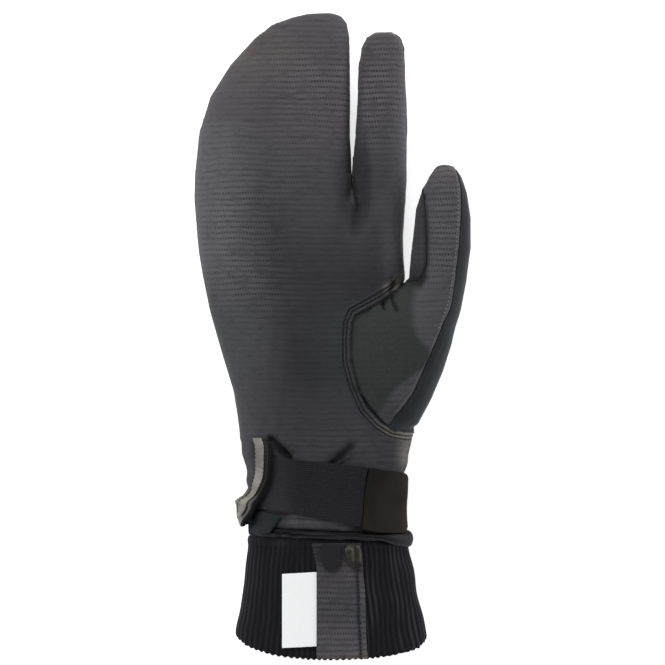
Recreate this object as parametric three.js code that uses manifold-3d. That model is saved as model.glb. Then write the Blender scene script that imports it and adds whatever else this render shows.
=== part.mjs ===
// A trigger mitten for the right hand: a padded winter mitten whose index finger has a sleeve
// of its own, with a set-in thumb, a hook-and-loop wrist strap and a ribbed knit cuff.
// It lies on its back with the palm up. Millimetres: +X towards the thumb, +Y towards the
// fingertips, +Z out of the palm. The origin is under the middle of the mitten, on the surface
// that it lies on.
import * as THREE from "three";
import Module from "manifold-3d";
import { mergeVertices } from "three/addons/utils/BufferGeometryUtils.js";

const wasm = await Module();
wasm.setup();

// Driving dimensions
const SHELL_WALL = 2.4; // outer fabric, membrane and fleece together
const SEAM_GAP = 0.3; // between the edges of two panels that are sewn together
const LAY_GAP = 0.5; // under a piece that lies on another
const FAR = 120; // past every outline of the mitten
const SKY = 80; // above every piece

// Palm and pouch for three fingers, from below the hem to the tip
const PALM_ROWS = [
  { y: -98, left: -36.0, right: 31.8, low: 1.0, high: 37.4 },
  { y: -87, left: -36.0, right: 31.8, low: 1.0, high: 37.4 },
  { y: -80, left: -35.3, right: 31.1, low: 0.6, high: 37.0 },
  { y: -72, left: -34.8, right: 30.9, low: 0.2, high: 36.6 },
  { y: -62, left: -34.9, right: 31.4, low: -0.2, high: 36.8 },
  { y: -55, left: -36.8, right: 33.4, low: -0.5, high: 37.8 },
  { y: -47.5, left: -40.4, right: 35.4, low: -0.8, high: 39.8 },
  { y: -38, left: -42.8, right: 36.8, low: -1.2, high: 42.0 },
  { y: -25, left: -44.6, right: 36.6, low: -1.6, high: 44.4 },
  { y: -6, left: -50.4, right: 35.2, low: -1.8, high: 45.4 },
  { y: 12, left: -55.6, right: 34.0, low: -1.8, high: 44.2 },
  { y: 28, left: -58.8, right: 31.5, low: -1.7, high: 41.8 },
  { y: 37, left: -60.3, right: 27.0, low: -1.5, high: 40.4 },
  { y: 46, left: -61.2, right: 20.2, low: -1.3, high: 39.2 },
  { y: 55, left: -61.7, right: 12.6, low: -1.0, high: 38.2 },
  { y: 63, left: -62.1, right: 8.7, low: -0.6, high: 37.4 },
  { y: 74, left: -62.0, right: 8.2, low: 0.4, high: 36.6 },
  { y: 91, left: -60.2, right: 8.1, low: 2.8, high: 36.0 },
  { y: 108, left: -55.0, right: 8.1, low: 6.2, high: 35.0 },
  { y: 122, left: -46.0, right: 7.9, low: 10.0, high: 33.8 },
  { y: 134, left: -34.9, right: 7.7, low: 14.4, high: 32.4 },
  { y: 140.5, left: -26.0, right: 6.4, low: 17.6, high: 31.0 },
  { y: 143.6, left: -18.5, right: 3.8, low: 19.8, high: 29.8 },
  { y: 144.9, left: -12.0, right: 0.0, low: 22.0, high: 28.0 },
];

// Sleeve of the index finger, from inside the palm to the tip
const INDEX_ROWS = [
  { y: 16, left: -2.0, right: 28.6, low: 6.0, high: 36.0 },
  { y: 26, left: -6.0, right: 32.6, low: 2.0, high: 38.6 },
  { y: 36, left: -6.0, right: 32.2, low: 0.4, high: 38.6 },
  { y: 46, left: -2.2, right: 32.0, low: -0.4, high: 37.8 },
  { y: 55, left: 4.0, right: 32.3, low: -0.6, high: 37.0 },
  { y: 63, left: 8.2, right: 32.7, low: -0.2, high: 36.2 },
  { y: 74, left: 9.0, right: 33.0, low: 0.8, high: 35.0 },
  { y: 91, left: 9.8, right: 33.0, low: 3.2, high: 33.6 },
  { y: 108, left: 10.7, right: 32.8, low: 6.4, high: 32.6 },
  { y: 122, left: 11.4, right: 32.4, low: 9.4, high: 32.0 },
  { y: 130, left: 12.9, right: 31.7, low: 12.0, high: 31.0 },
  { y: 134.4, left: 15.2, right: 30.0, low: 14.4, high: 29.6 },
  { y: 136.4, left: 19.0, right: 26.4, low: 18.0, high: 26.8 },
];

// Thumb, from inside the palm to the tip: each row crosses it from the palm's side to the outside
const THUMB_ROWS = [
  { palmX: -10.3, palmY: 2.9, outX: 29.2, outY: -45.7, low: 4.0, high: 45.0 },
  { palmX: -1.4, palmY: 12.8, outX: 38.2, outY: -39.4, low: 5.0, high: 46.0 },
  { palmX: 10.3, palmY: 18.2, outX: 44.1, outY: -28.6, low: 6.0, high: 46.0 },
  { palmX: 22.1, palmY: 20.9, outX: 49.5, outY: -16.0, low: 7.0, high: 45.5 },
  { palmX: 31.1, palmY: 22.7, outX: 53.6, outY: -3.8, low: 8.0, high: 44.5 },
  { palmX: 34.2, palmY: 26.3, outX: 57.1, outY: 9.7, low: 9.5, high: 43.0 },
  { palmX: 35.0, palmY: 36.2, outX: 59.9, outY: 24.5, low: 11.0, high: 41.5 },
  { palmX: 36.2, palmY: 47.0, outX: 61.9, outY: 39.8, low: 12.5, high: 41.0 },
  { palmX: 37.1, palmY: 56.9, outX: 61.9, outY: 53.3, low: 14.0, high: 40.5 },
  { palmX: 39.6, palmY: 64.6, outX: 60.5, outY: 63.2, low: 16.5, high: 40.0 },
  { palmX: 43.2, palmY: 71.8, outX: 58.3, outY: 72.0, low: 20.0, high: 38.0 },
  { palmX: 46.2, palmY: 75.9, outX: 55.4, outY: 76.1, low: 23.5, high: 35.0 },
  { palmX: 48.6, palmY: 76.7, outX: 53.2, outY: 76.8, low: 26.4, high: 32.4 },
];

// Knit cuff, from the end that is tucked into the gauntlet to the mouth
const CUFF_ROWS = [
  { y: -79, left: -32.0, right: 27.8, low: 4.2, high: 33.4 },
  { y: -89.9, left: -32.8, right: 28.8, low: 4.2, high: 34.0 },
  { y: -91.2, left: -38.0, right: 34.6, low: 1.8, high: 36.8 },
  { y: -112, left: -40.8, right: 37.2, low: 0.9, high: 39.4 },
  { y: -134.4, left: -43.2, right: 42.2, low: 0.3, high: 43.2 },
];
const CUFF = { wall: 2.0, ribs: 76, ribDepth: 0.9, mouthBulge: 9.2 };
const RIB_SAMPLES = 2000; // steps round the cuff in which its ribs are spaced evenly

// Roundness of the cross-sections: 2 is an ellipse, more is boxier
const FULLNESS = { palm: 2.4, index: 2.3, thumb: 2.25, cuff: 2.2 };

// Pleats and ridges of the palm fabric above the strap, each along a line on the palm
const FOLDS = [
  { x0: -27.5, y0: -45.5, x1: -20.5, y1: -51.0, width: 2.2, height: 1.6 },
  { x0: -26.0, y0: -50.5, x1: -22.5, y1: -52.0, width: 2.2, height: -2.0 },
  { x0: 9.5, y0: -47.5, x1: 4.0, y1: -52.5, width: 2.2, height: 1.4 },
  { x0: 4.0, y0: -48.5, x1: 1.0, y1: -52.5, width: 2.4, height: -1.6 },
  { x0: 20.0, y0: -47.0, x1: 30.0, y1: -48.5, width: 1.8, height: -0.9 },
  { x0: 20.0, y0: -53.0, x1: 29.0, y1: -54.5, width: 1.8, height: -0.9 },
];

// Seam lines, seen from above
const THUMB_HOLE = [
  [33.7, 80.0], [33.7, 58.0], [33.7, 38.0], [33.6, 30.0], [33.0, 26.0], [30.6, 23.0], [27.4, 20.0],
  [22.0, 16.2], [14.0, 11.8], [9.8, 9.6], [8.2, 5.8], [7.6, -2.0], [7.9, -11.0], [10.7, -21.4],
  [15.0, -31.4], [21.0, -37.8], [26.6, -41.3], [33.0, -42.6], [40.0, -42.8],
];
const THUMB_BACK_SEAM = [
  [54.6, 84.0], [54.9, 76.7], [56.5, 70.4], [57.1, 61.4], [56.9, 52.4], [56.2, 41.2],
  [54.9, 29.9], [53.1, 16.4], [49.5, 2.9], [43.6, -10.6], [36.9, -25.4], [30.2, -34.0],
  [22.0, -43.0],
];
const THUMB_SIDE_SEAM = [
  [38.0, 74.0], [40.6, 65.4], [41.3, 56.9], [41.7, 45.7], [41.7, 32.5], [40.3, 27.6], [38.4, 24.6],
];
const THUMB_FRONT_LOW = 22.0; // height at which the thumb's front pieces meet the back panel
const THUMB_ROOT = { x: 14, z: 20, outX: 34, outZ: -5 }; // the thumb's seam slants down between these

// Height of the side seam between palm and back, along the mitten
const SIDE_SEAM = [
  { y: -FAR, z: 15.5 },
  { y: -60, z: 15.5 },
  { y: 0, z: 17.0 },
  { y: 70, z: 17.5 },
  { y: 110, z: 19.5 },
  { y: 134, z: 22.5 },
  { y: 160, z: 26.0 },
];

// Hem of the gauntlet: the slanting line of its lower edge, and the binding rolled round it
const HEM = { y: -85.6, x: -21.6, slope: -0.04, bindingHeight: 3.6, bindingProud: 2.3 };

// Wrist strap from under the flap to the tab's slanting seam, and the tab round the wrist's side
const STRAP = { thick: 1.6, tuckTop: -31.6, tuckBottom: -34.6, seamTop: 14.6, seamBottom: 12.2 };
const TAB = { thick: 2.0, turn: 0.12, corner: 2.6 };
const STRAP_TOP = [[-36, -53.2], [0, -56.2], [14, -58.2], [34, -61.6]];
const STRAP_BOTTOM = [[-36, -76.8], [-22.9, -77.8], [0, -82.4], [14, -85.2], [34, -86.4]];

// Flap at the little finger's side: under side of its front edge, and of its bulge at the side
const FLAP_ROWS = [
  { y: -45.0, frontX: -31.4, frontZ: 36.6, sideX: -41.4, sideZ: 27.0 },
  { y: -49.0, frontX: -30.2, frontZ: 36.6, sideX: -40.6, sideZ: 27.0 },
  { y: -56.0, frontX: -30.2, frontZ: 35.4, sideX: -38.9, sideZ: 26.0 },
  { y: -61.0, frontX: -30.4, frontZ: 34.4, sideX: -37.4, sideZ: 25.0 },
  { y: -64.5, frontX: -31.0, frontZ: 33.6, sideX: -37.0, sideZ: 25.0 },
  { y: -69.0, frontX: -33.6, frontZ: 32.4, sideX: -39.0, sideZ: 24.0 },
  { y: -72.0, frontX: -35.4, frontZ: 31.2, sideX: -41.2, sideZ: 21.5 },
  { y: -75.5, frontX: -37.2, frontZ: 30.2, sideX: -42.7, sideZ: 21.0 },
  { y: -79.0, frontX: -38.6, frontZ: 29.2, sideX: -41.6, sideZ: 20.5 },
  { y: -82.0, frontX: -39.5, frontZ: 28.2, sideX: -41.0, sideZ: 20.0 },
  { y: -84.9, frontX: -39.6, frontZ: 27.4, sideX: -40.0, sideZ: 19.5 },
];
const FLAP = { thick: 1.4, lowAngle: 3.42, anchorAngle: 3.7 };
const FLAP_EDGE = { halfWidth: 1.4, halfHeight: 1.3 };
const REFLECTIVE = { from: 1.2, width: 3.8, thick: 0.6, bottom: -80.5 };
const WRIST_GUSSET = { left: -34.2, right: -22.6, top: -78.0, bottom: -85.2, slope: -4.5, thick: 1.2 };

// What is sewn on the cuff
const CUFF_STRIP = { left: -7.1, right: 14.3, top: -94.4, bottom: -142.6, thick: 1.2 };
const LABEL = { left: -22.9, right: -7.9, top: -105.6, bottom: -138.2, lean: 1.0, thick: 0.6 };
const TONGUE = { left: -4.9, right: 4.4, top: -94.8, bottom: -103.2, thick: 1.0 };
const TAPE_LOOP = { left: 4.9, right: 9.0, top: -94.8, bottom: -103.0, lean: 1.4, thick: 0.8 };

const FABRIC = {
  shell: { color: 0x47464b, roughness: 0.7 },
  back: { color: 0x2b3236, roughness: 0.75 },
  strap: { color: 0x252428, roughness: 0.8 },
  tab: { color: 0x292623, roughness: 0.6 },
  binding: { color: 0x1c1c1e, roughness: 0.8 },
  reflective: { color: 0x9c9894, roughness: 0.45 },
  knit: { color: 0x1f1e22, roughness: 0.9 },
  label: { color: 0xf2f3f3, roughness: 0.6 },
  tape: { color: 0x8f8878, roughness: 0.7 },
};

// Solids and cuts
function solidOf(geometry) {
  const bare = new THREE.BufferGeometry().setAttribute("position", geometry.getAttribute("position"));
  const merged = mergeVertices(bare.setIndex(geometry.index), 1e-4);
  const vertProperties = merged.attributes.position.array;
  const triVerts = new Uint32Array(merged.index.array);
  return new wasm.Manifold(new wasm.Mesh({ numProp: 3, vertProperties, triVerts }));
}

function geometryOf(solid) {
  const { vertProperties, triVerts } = solid.getMesh();
  return new THREE.BufferGeometry()
    .setAttribute("position", new THREE.BufferAttribute(vertProperties, 3))
    .setIndex(new THREE.BufferAttribute(triVerts, 1));
}

// A geometry from points and triangles, turned so that its faces point out.
function closedGeometry(points, faces) {
  let volume = 0;
  for (let i = 0; i < faces.length; i += 3) {
    const [a, b, c] = [points[faces[i]], points[faces[i + 1]], points[faces[i + 2]]];
    volume += a.dot(b.clone().cross(c));
  }
  if (volume < 0) faces.reverse();
  return new THREE.BufferGeometry().setFromPoints(points).setIndex(faces);
}

// Skin through rings of equal length, closed by a fan at each end.
function loft(rings) {
  const count = rings[0].length;
  const points = rings.flat();
  const faces = [];
  for (let i = 0; i + 1 < rings.length; i++) {
    for (let k = 0; k < count; k++) {
      const [a, b] = [i * count + k, i * count + ((k + 1) % count)];
      faces.push(a, a + count, b, b, a + count, b + count);
    }
  }
  for (const [ring, first] of [[rings[0], 0], [rings.at(-1), points.length - count]]) {
    const middle = new THREE.Vector3();
    ring.forEach((point) => middle.addScaledVector(point, 1 / count));
    points.push(middle);
    for (let k = 0; k < count; k++) {
      const [a, b] = [first + k, first + ((k + 1) % count)];
      faces.push(...(first === 0 ? [a, b, points.length - 1] : [b, a, points.length - 1]));
    }
  }
  return closedGeometry(points, faces);
}

// Skin through rings of equal length, the last joined to the first.
function closedLoop(rings) {
  const count = rings[0].length;
  const points = rings.flat();
  const faces = [];
  rings.forEach((_, i) => {
    const next = ((i + 1) % rings.length) * count;
    for (let k = 0; k < count; k++) {
      const across = (k + 1) % count;
      const [a, b, c, d] = [i * count + k, i * count + across, next + k, next + across];
      faces.push(a, b, c, b, d, c);
    }
  });
  return closedGeometry(points, faces);
}

// Sheet of cloth: point(u, v, side) gives its under side at 0 and its upper side at 1.
function sheet(columns, rows, point) {
  const points = [];
  const faces = [];
  for (const side of [0, 1])
    for (let j = 0; j <= rows; j++)
      for (let i = 0; i <= columns; i++) points.push(point(i / columns, j / rows, side));
  const at = (side, j, i) => (side * (rows + 1) + j) * (columns + 1) + i;
  const quad = (a, b, c, d) => faces.push(a, b, c, a, c, d);
  for (let j = 0; j < rows; j++) {
    for (let i = 0; i < columns; i++) {
      quad(at(1, j, i), at(1, j, i + 1), at(1, j + 1, i + 1), at(1, j + 1, i));
      quad(at(0, j, i), at(0, j + 1, i), at(0, j + 1, i + 1), at(0, j, i + 1));
    }
    quad(at(0, j, 0), at(1, j, 0), at(1, j + 1, 0), at(0, j + 1, 0));
    quad(at(0, j, columns), at(0, j + 1, columns), at(1, j + 1, columns), at(1, j, columns));
  }
  for (let i = 0; i < columns; i++) {
    quad(at(0, 0, i), at(0, 0, i + 1), at(1, 0, i + 1), at(1, 0, i));
    quad(at(0, rows, i), at(1, rows, i), at(1, rows, i + 1), at(0, rows, i + 1));
  }
  return closedGeometry(points, faces);
}

// Prism over an outline: in the XY plane between two heights, or turned to stand on its edge
function prism(outline, low, high, turned = (geometry) => geometry) {
  const shape = new THREE.Shape(outline.map(([x, y]) => new THREE.Vector2(x, y)));
  const geometry = new THREE.ExtrudeGeometry(shape, { depth: high - low, bevelEnabled: false });
  return solidOf(turned(geometry.translate(0, 0, low)));
}

const alongY = (geometry) => geometry.rotateX(Math.PI / 2);
const alongX = (geometry) => geometry.rotateX(Math.PI / 2).rotateZ(Math.PI / 2);

// Sections: a row's columns, interpolated along the row numbers
function rowsAlong(rows) {
  const keys = Object.keys(rows[0]);
  const values = rows.flatMap((row) => keys.map((key) => row[key]));
  const curve = new THREE.CubicInterpolant(rows.map((_, i) => i), values, keys.length);
  return (place) => {
    const found = curve.evaluate(place);
    return Object.fromEntries(keys.map((key, k) => [key, found[k]]));
  };
}

function rowAt(rows, y) {
  const row = rowsAlong(rows);
  const rising = rows.at(-1).y > rows[0].y;
  let [from, to] = [0, rows.length - 1];
  for (let step = 0; step < 40; step++) {
    const middle = (from + to) / 2;
    if (row(middle).y < y === rising) from = middle;
    else to = middle;
  }
  return row((from + to) / 2);
}

// Straight interpolation in a list of [x, value] pairs.
function along(pairs, x) {
  const i = Math.max(1, pairs.findIndex(([at], k) => k > 0 && (at >= x || k === pairs.length - 1)));
  const [[x0, value0], [x1, value1]] = [pairs[i - 1], pairs[i]];
  return value0 + ((value1 - value0) * (x - x0)) / (x1 - x0);
}

const bent = (value, power) => Math.sign(value) * Math.abs(value) ** power;

// Point of a row's rounded section; the angle runs from +X over the palm side, and proud grows it.
function onSection(row, fullness, angle, proud = 0) {
  const half = (row.right - row.left) / 2 + proud;
  const rise = (row.high - row.low) / 2 + proud;
  return new THREE.Vector3(
    (row.left + row.right) / 2 + half * bent(Math.cos(angle), 2 / fullness),
    row.y,
    (row.low + row.high) / 2 + rise * bent(Math.sin(angle), 2 / fullness),
  );
}

// Angle at which a row's section, seen from the palm side, passes x.
function angleAt(row, fullness, x, proud = 0) {
  const share = (x - (row.left + row.right) / 2) / ((row.right - row.left) / 2 + proud);
  return Math.acos(bent(THREE.MathUtils.clamp(share, -1, 1), fullness / 2));
}

const anglesRound = (count) => Array.from({ length: count }, (_, k) => (2 * Math.PI * k) / count);

// Height that the folds add to the palm at a place
function foldLift(x, y) {
  return FOLDS.reduce((sum, fold) => {
    const line = new THREE.Line3(
      new THREE.Vector3(fold.x0, fold.y0, 0),
      new THREE.Vector3(fold.x1, fold.y1, 0),
    );
    const place = new THREE.Vector3(x, y, 0);
    const gap = line.closestPointToPoint(place, true, new THREE.Vector3()).distanceTo(place);
    return sum + fold.height * Math.exp(-((gap / fold.width) ** 2));
  }, 0);
}

// A lobe of the hand through rows across Y; inset makes the hollow inside it.
function lobe(rows, places, fullness, count, inset = 0, folded = false) {
  const row = rowsAlong(rows);
  const rings = places.map((place) => {
    const section = row(place);
    return anglesRound(count).map((angle) => {
      const point = onSection(section, fullness, angle, -inset);
      if (folded && Math.sin(angle) > 0) point.z += foldLift(point.x, point.y);
      return point;
    });
  });
  return solidOf(loft(rings));
}

// The thumb's lobe, whose rows lie across its own bent axis.
function thumbLobe(places, count, inset = 0) {
  const row = rowsAlong(THUMB_ROWS);
  const rings = places.map((place) => {
    const { palmX, palmY, outX, outY, low, high } = row(place);
    const width = Math.hypot(outX - palmX, outY - palmY);
    const section = { left: -width / 2, right: width / 2, low, high, y: 0 };
    return anglesRound(count).map((angle) => {
      const flat = onSection(section, FULLNESS.thumb, angle, -inset);
      const share = flat.x / width;
      return new THREE.Vector3(
        (palmX + outX) / 2 + (outX - palmX) * share,
        (palmY + outY) / 2 + (outY - palmY) * share,
        flat.z,
      );
    });
  });
  return solidOf(loft(rings));
}

const places = (from, to, step) =>
  Array.from({ length: Math.round((to - from) / step) + 1 }, (_, i) => from + i * step);

// Hand: the outer form of palm, pouch, index finger and thumb, and the hollow inside it
const ground = (height) =>
  prism([[-FAR, -FAR], [FAR, -FAR], [FAR, 2 * FAR], [-FAR, 2 * FAR]], -SKY, height);
const palmPlaces = [...places(0, 3, 1), ...places(3.5, 7, 0.35), ...places(8, 23, 1)];
const handForm = lobe(PALM_ROWS, palmPlaces, FULLNESS.palm, 36, 0, true)
  .add(lobe(INDEX_ROWS, places(0, 12, 1), FULLNESS.index, 20))
  .add(thumbLobe(places(0, 12, 1), 24))
  .subtract(ground(0));
const handHollow = lobe(PALM_ROWS, places(0, 21, 1.75), FULLNESS.palm, 20, SHELL_WALL)
  .add(lobe(INDEX_ROWS, places(0, 10, 2), FULLNESS.index, 12, SHELL_WALL))
  .add(thumbLobe(places(0, 10, 2), 14, SHELL_WALL))
  .subtract(ground(SHELL_WALL));

// Everything below the slanting line of the hem
const hemAt = (x) => HEM.y + HEM.slope * (x - HEM.x);
const belowHem = prism(
  [[-FAR, hemAt(-FAR)], [-FAR, -FAR], [FAR, -FAR], [FAR, hemAt(FAR)]], -SKY, SKY,
);
const shell = handForm.subtract(handHollow).subtract(belowHem);

// Seams: a smooth line through a seam's points, moved sideways by half the gap
function seamLine(points, shift) {
  const spline = new THREE.SplineCurve(points.map(([x, y]) => new THREE.Vector2(x, y)));
  const smooth = spline.getPoints(2 * (points.length - 1));
  return smooth.map((point, i) => {
    const ahead = smooth[Math.min(i + 1, smooth.length - 1)];
    const behind = smooth[Math.max(i - 1, 0)];
    const run = ahead.clone().sub(behind).normalize();
    return [point.x + run.y * shift, point.y - run.x * shift];
  });
}

const half = SEAM_GAP / 2;

// Region of the thumb, grown by a shift: inside the thumb hole's seam, above a slanting limit
function thumbRegion(shift) {
  const outline = [
    ...seamLine(THUMB_HOLE, shift), [FAR, THUMB_HOLE.at(-1)[1]], [FAR, THUMB_HOLE[0][1]],
  ];
  const { x: inX, z: inZ, outX, outZ } = THUMB_ROOT;
  const limit = [[-FAR, inZ], [inX, inZ], [outX, outZ], [FAR, outZ], [FAR, SKY], [-FAR, SKY]];
  const lowered = limit.map(([x, z]) => [x - shift, z - shift]);
  return prism(outline, -SKY, SKY).intersect(prism(lowered, -FAR, FAR, alongY));
}

function underSideSeam(shift) {
  const outline = [[-FAR, -SKY], ...SIDE_SEAM.map(({ y, z }) => [y, z + shift]), [160, -SKY]];
  return prism(outline, -FAR, FAR, alongX);
}

const handWithoutThumb = shell.subtract(thumbRegion(half));
const palmPanel = handWithoutThumb.subtract(underSideSeam(half));
const backPanel = handWithoutThumb.intersect(underSideSeam(-half));

// Thumb: its front, whose foot fills the thumb hole, the strip beside the index finger, its back
const thumb = shell.intersect(thumbRegion(-half));
const leftOf = (seam, shift, bottom) => {
  const line = seamLine(seam, shift);
  return prism([...line, [-FAR, line.at(-1)[1]], [-FAR, line[0][1]]], bottom, SKY);
};
const frontSide = (shift) => leftOf(THUMB_BACK_SEAM, shift, THUMB_FRONT_LOW + shift);
const besideIndex = (shift) => leftOf(THUMB_SIDE_SEAM, shift, 0);
const thumbFace = thumb.intersect(frontSide(half));
const thumbBack = thumb.subtract(frontSide(-half));
const thumbSide = thumbFace.intersect(besideIndex(half));
const thumbFront = thumbFace.subtract(besideIndex(-half));

// A point on the outside of the wrist, by its angle or by its place seen from above
const onWrist = (y, angle, proud) => onSection(rowAt(PALM_ROWS, y), FULLNESS.palm, angle, proud);
const wristAngle = (y, x, proud) => angleAt(rowAt(PALM_ROWS, y), FULLNESS.palm, x, proud);

// Wrist strap: elastic from under the flap to the tab's seam
const seamX = (v) => THREE.MathUtils.lerp(STRAP.seamTop, STRAP.seamBottom, v);
const strap = sheet(12, 4, (u, v, side) => {
  const tuckX = THREE.MathUtils.lerp(STRAP.tuckTop, STRAP.tuckBottom, v);
  const x = THREE.MathUtils.lerp(tuckX, seamX(v) - half, u);
  const y = THREE.MathUtils.lerp(along(STRAP_TOP, x), along(STRAP_BOTTOM, x), v);
  return onWrist(y, wristAngle(y, x, LAY_GAP), LAY_GAP + side * STRAP.thick);
});

// Tab: the strap's stiff end, with round corners, which turns over the side of the wrist
const tab = sheet(10, 6, (u, v, side) => {
  const middleY = (along(STRAP_TOP, seamX(v)) + along(STRAP_BOTTOM, seamX(v))) / 2;
  const start = wristAngle(middleY, seamX(v) + half, LAY_GAP);
  const angle = THREE.MathUtils.lerp(start, TAB.turn, u);
  const { x } = onWrist(middleY, angle, LAY_GAP);
  const fromEnd = onWrist(middleY, TAB.turn, LAY_GAP).x - x;
  const cut = fromEnd < TAB.corner
    ? TAB.corner - Math.sqrt(TAB.corner ** 2 - (TAB.corner - fromEnd) ** 2)
    : 0;
  const y = THREE.MathUtils.lerp(along(STRAP_TOP, x) - cut, along(STRAP_BOTTOM, x) + cut, v);
  return onWrist(y, angle, LAY_GAP + side * TAB.thick);
});

// Flap: the back's edge, which laps over the strap's sewn end and flares at its lower corner.
// A place on it has a run behind its front edge and stands proud of its under side.
function onFlap(y, run, proud) {
  const { frontX, frontZ, sideX, sideZ } = rowAt(FLAP_ROWS, y);
  const low = onWrist(y, FLAP.lowAngle, LAY_GAP);
  const anchor = onWrist(y, FLAP.anchorAngle, LAY_GAP);
  const across = new THREE.SplineCurve([
    new THREE.Vector2(frontX, frontZ),
    new THREE.Vector2(sideX, sideZ),
    new THREE.Vector2(low.x, low.z),
    new THREE.Vector2(anchor.x, anchor.z),
  ]);
  const length = across.getLength();
  const share = THREE.MathUtils.clamp(run / length, 0, 1);
  const tangent = across.getTangentAt(share);
  const place = across.getPointAt(share)
    .addScaledVector(tangent, Math.min(run, 0))
    .add(new THREE.Vector2(tangent.y, -tangent.x).multiplyScalar(proud));
  return { point: new THREE.Vector3(place.x, y, place.y), tangent, length };
}

const flapTop = FLAP_ROWS[0].y;
const flapBottom = FLAP_ROWS.at(-1).y;
const flap = sheet(6, 12, (u, v, side) => {
  const y = THREE.MathUtils.lerp(flapTop, flapBottom, v);
  return onFlap(y, u * onFlap(y, 0, 0).length, side * FLAP.thick).point;
});

// Binding rolled over the flap's front edge
const flapBinding = loft(places(0, 12, 1).map((i) => {
  const y = THREE.MathUtils.lerp(flapTop - 2.4, flapBottom, i / 12);
  const { point, tangent } = onFlap(y, -FLAP_EDGE.halfWidth - SEAM_GAP, FLAP.thick / 2);
  return anglesRound(8).map((angle) => {
    const out = FLAP_EDGE.halfWidth * Math.cos(angle);
    const up = FLAP_EDGE.halfHeight * Math.sin(angle);
    return point.clone().add(new THREE.Vector3(
      tangent.x * out + tangent.y * up, 0, tangent.y * out - tangent.x * up,
    ));
  });
}));

// Reflective strip along the flap, beside the binding
const reflectiveStrip = sheet(2, 12, (u, v, side) => {
  const y = THREE.MathUtils.lerp(flapTop - 0.2, REFLECTIVE.bottom, v);
  const run = REFLECTIVE.from + u * REFLECTIVE.width;
  return onFlap(y, run, FLAP.thick + LAY_GAP + side * REFLECTIVE.thick).point;
});

// Wrist gusset: the soft corner that shows below the strap
const wristGusset = sheet(4, 3, (u, v, side) => {
  const { left, right, top, bottom, slope, thick } = WRIST_GUSSET;
  const x = THREE.MathUtils.lerp(left, right + slope * v, u);
  const y = THREE.MathUtils.lerp(Math.min(top, along(STRAP_BOTTOM, x) - LAY_GAP), bottom, v);
  return onWrist(y, wristAngle(y, x, LAY_GAP), LAY_GAP + side * thick);
});

// Hem binding: a rolled ring round the gauntlet's lower edge
const hemBinding = closedLoop(anglesRound(40).map((angle) => {
  const middle = (HEM.bindingProud - SHELL_WALL) / 2;
  const reach = (HEM.bindingProud + SHELL_WALL) / 2;
  const centreY = hemAt(onWrist(HEM.y, angle, 0).x) - SEAM_GAP - HEM.bindingHeight / 2;
  return anglesRound(8).map((turn) => {
    const point = onWrist(HEM.y, angle, middle + reach * Math.cos(turn));
    point.y = centreY + (HEM.bindingHeight / 2) * Math.sin(turn);
    point.z = Math.max(point.z, 0);
    return point;
  });
}));

// Knit cuff: a ribbed tube whose top follows the hem and whose mouth is longest in its middle
const cuffTop = CUFF_ROWS[0].y;
const cuffNeck = CUFF_ROWS[1].y;
const cuffShoulder = CUFF_ROWS[2].y;
const cuffMouth = CUFF_ROWS.at(-1).y;
function onCuff(y, angle, proud) {
  const point = onSection(rowAt(CUFF_ROWS, y), FULLNESS.cuff, angle, proud);
  const share = THREE.MathUtils.clamp((y - cuffShoulder) / (cuffMouth - cuffShoulder), 0, 1);
  const slant = HEM.slope * (point.x - HEM.x) * (1 - share);
  point.y = y + slant - CUFF.mouthBulge * Math.abs(Math.sin(angle)) * share ** 1.6;
  return point;
}

// Angles that part the cuff's circumference into equal lengths.
function evenAngles(count) {
  const fine = anglesRound(RIB_SAMPLES);
  const points = fine.map((angle) => onCuff(cuffShoulder, angle, 0));
  const run = [0];
  points.forEach((point, i) => run.push(run[i] + point.distanceTo(points[(i + 1) % points.length])));
  return anglesRound(count).map((_, k) => {
    const wanted = (run.at(-1) * k) / count;
    return fine[Math.max(0, run.findIndex((length) => length > wanted) - 1)];
  });
}

const knitCuff = closedLoop(evenAngles(2 * CUFF.ribs).map((angle, k) => {
  const groove = (k % 2) * -CUFF.ribDepth;
  const inside = -CUFF.wall - CUFF.ribDepth / 2;
  return [
    onCuff(cuffTop, angle, 0),
    onCuff(cuffNeck, angle, 0),
    onCuff(cuffShoulder, angle, groove),
    onCuff(cuffMouth, angle, groove),
    onCuff(cuffMouth, angle, inside),
    onCuff(cuffShoulder, angle, inside),
    onCuff(cuffTop, angle, inside),
  ];
}));

// A place on the cuff's palm side, given as it is seen from above
function onCuffFace(x, y, proud) {
  let row = y;
  let angle = Math.PI / 2;
  for (let step = 0; step < 30; step++) {
    angle = angleAt(rowAt(CUFF_ROWS, row), FULLNESS.cuff, x);
    row = THREE.MathUtils.clamp(row + y - onCuff(row, angle, 0).y, cuffMouth, cuffTop);
  }
  return onCuff(row, angle, proud);
}

// A flat piece on the cuff; shaped(place, u, v) may move a place, seen from above.
function patchOnCuff(size, columns, rows, lay, shaped = (place) => place) {
  return sheet(columns, rows, (u, v, side) => {
    const x = THREE.MathUtils.lerp(size.left, size.right, u);
    const y = THREE.MathUtils.lerp(size.top, size.bottom, v);
    const place = shaped({ x, y }, u, v);
    return onCuffFace(place.x, place.y, lay + side * size.thick);
  });
}

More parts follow.
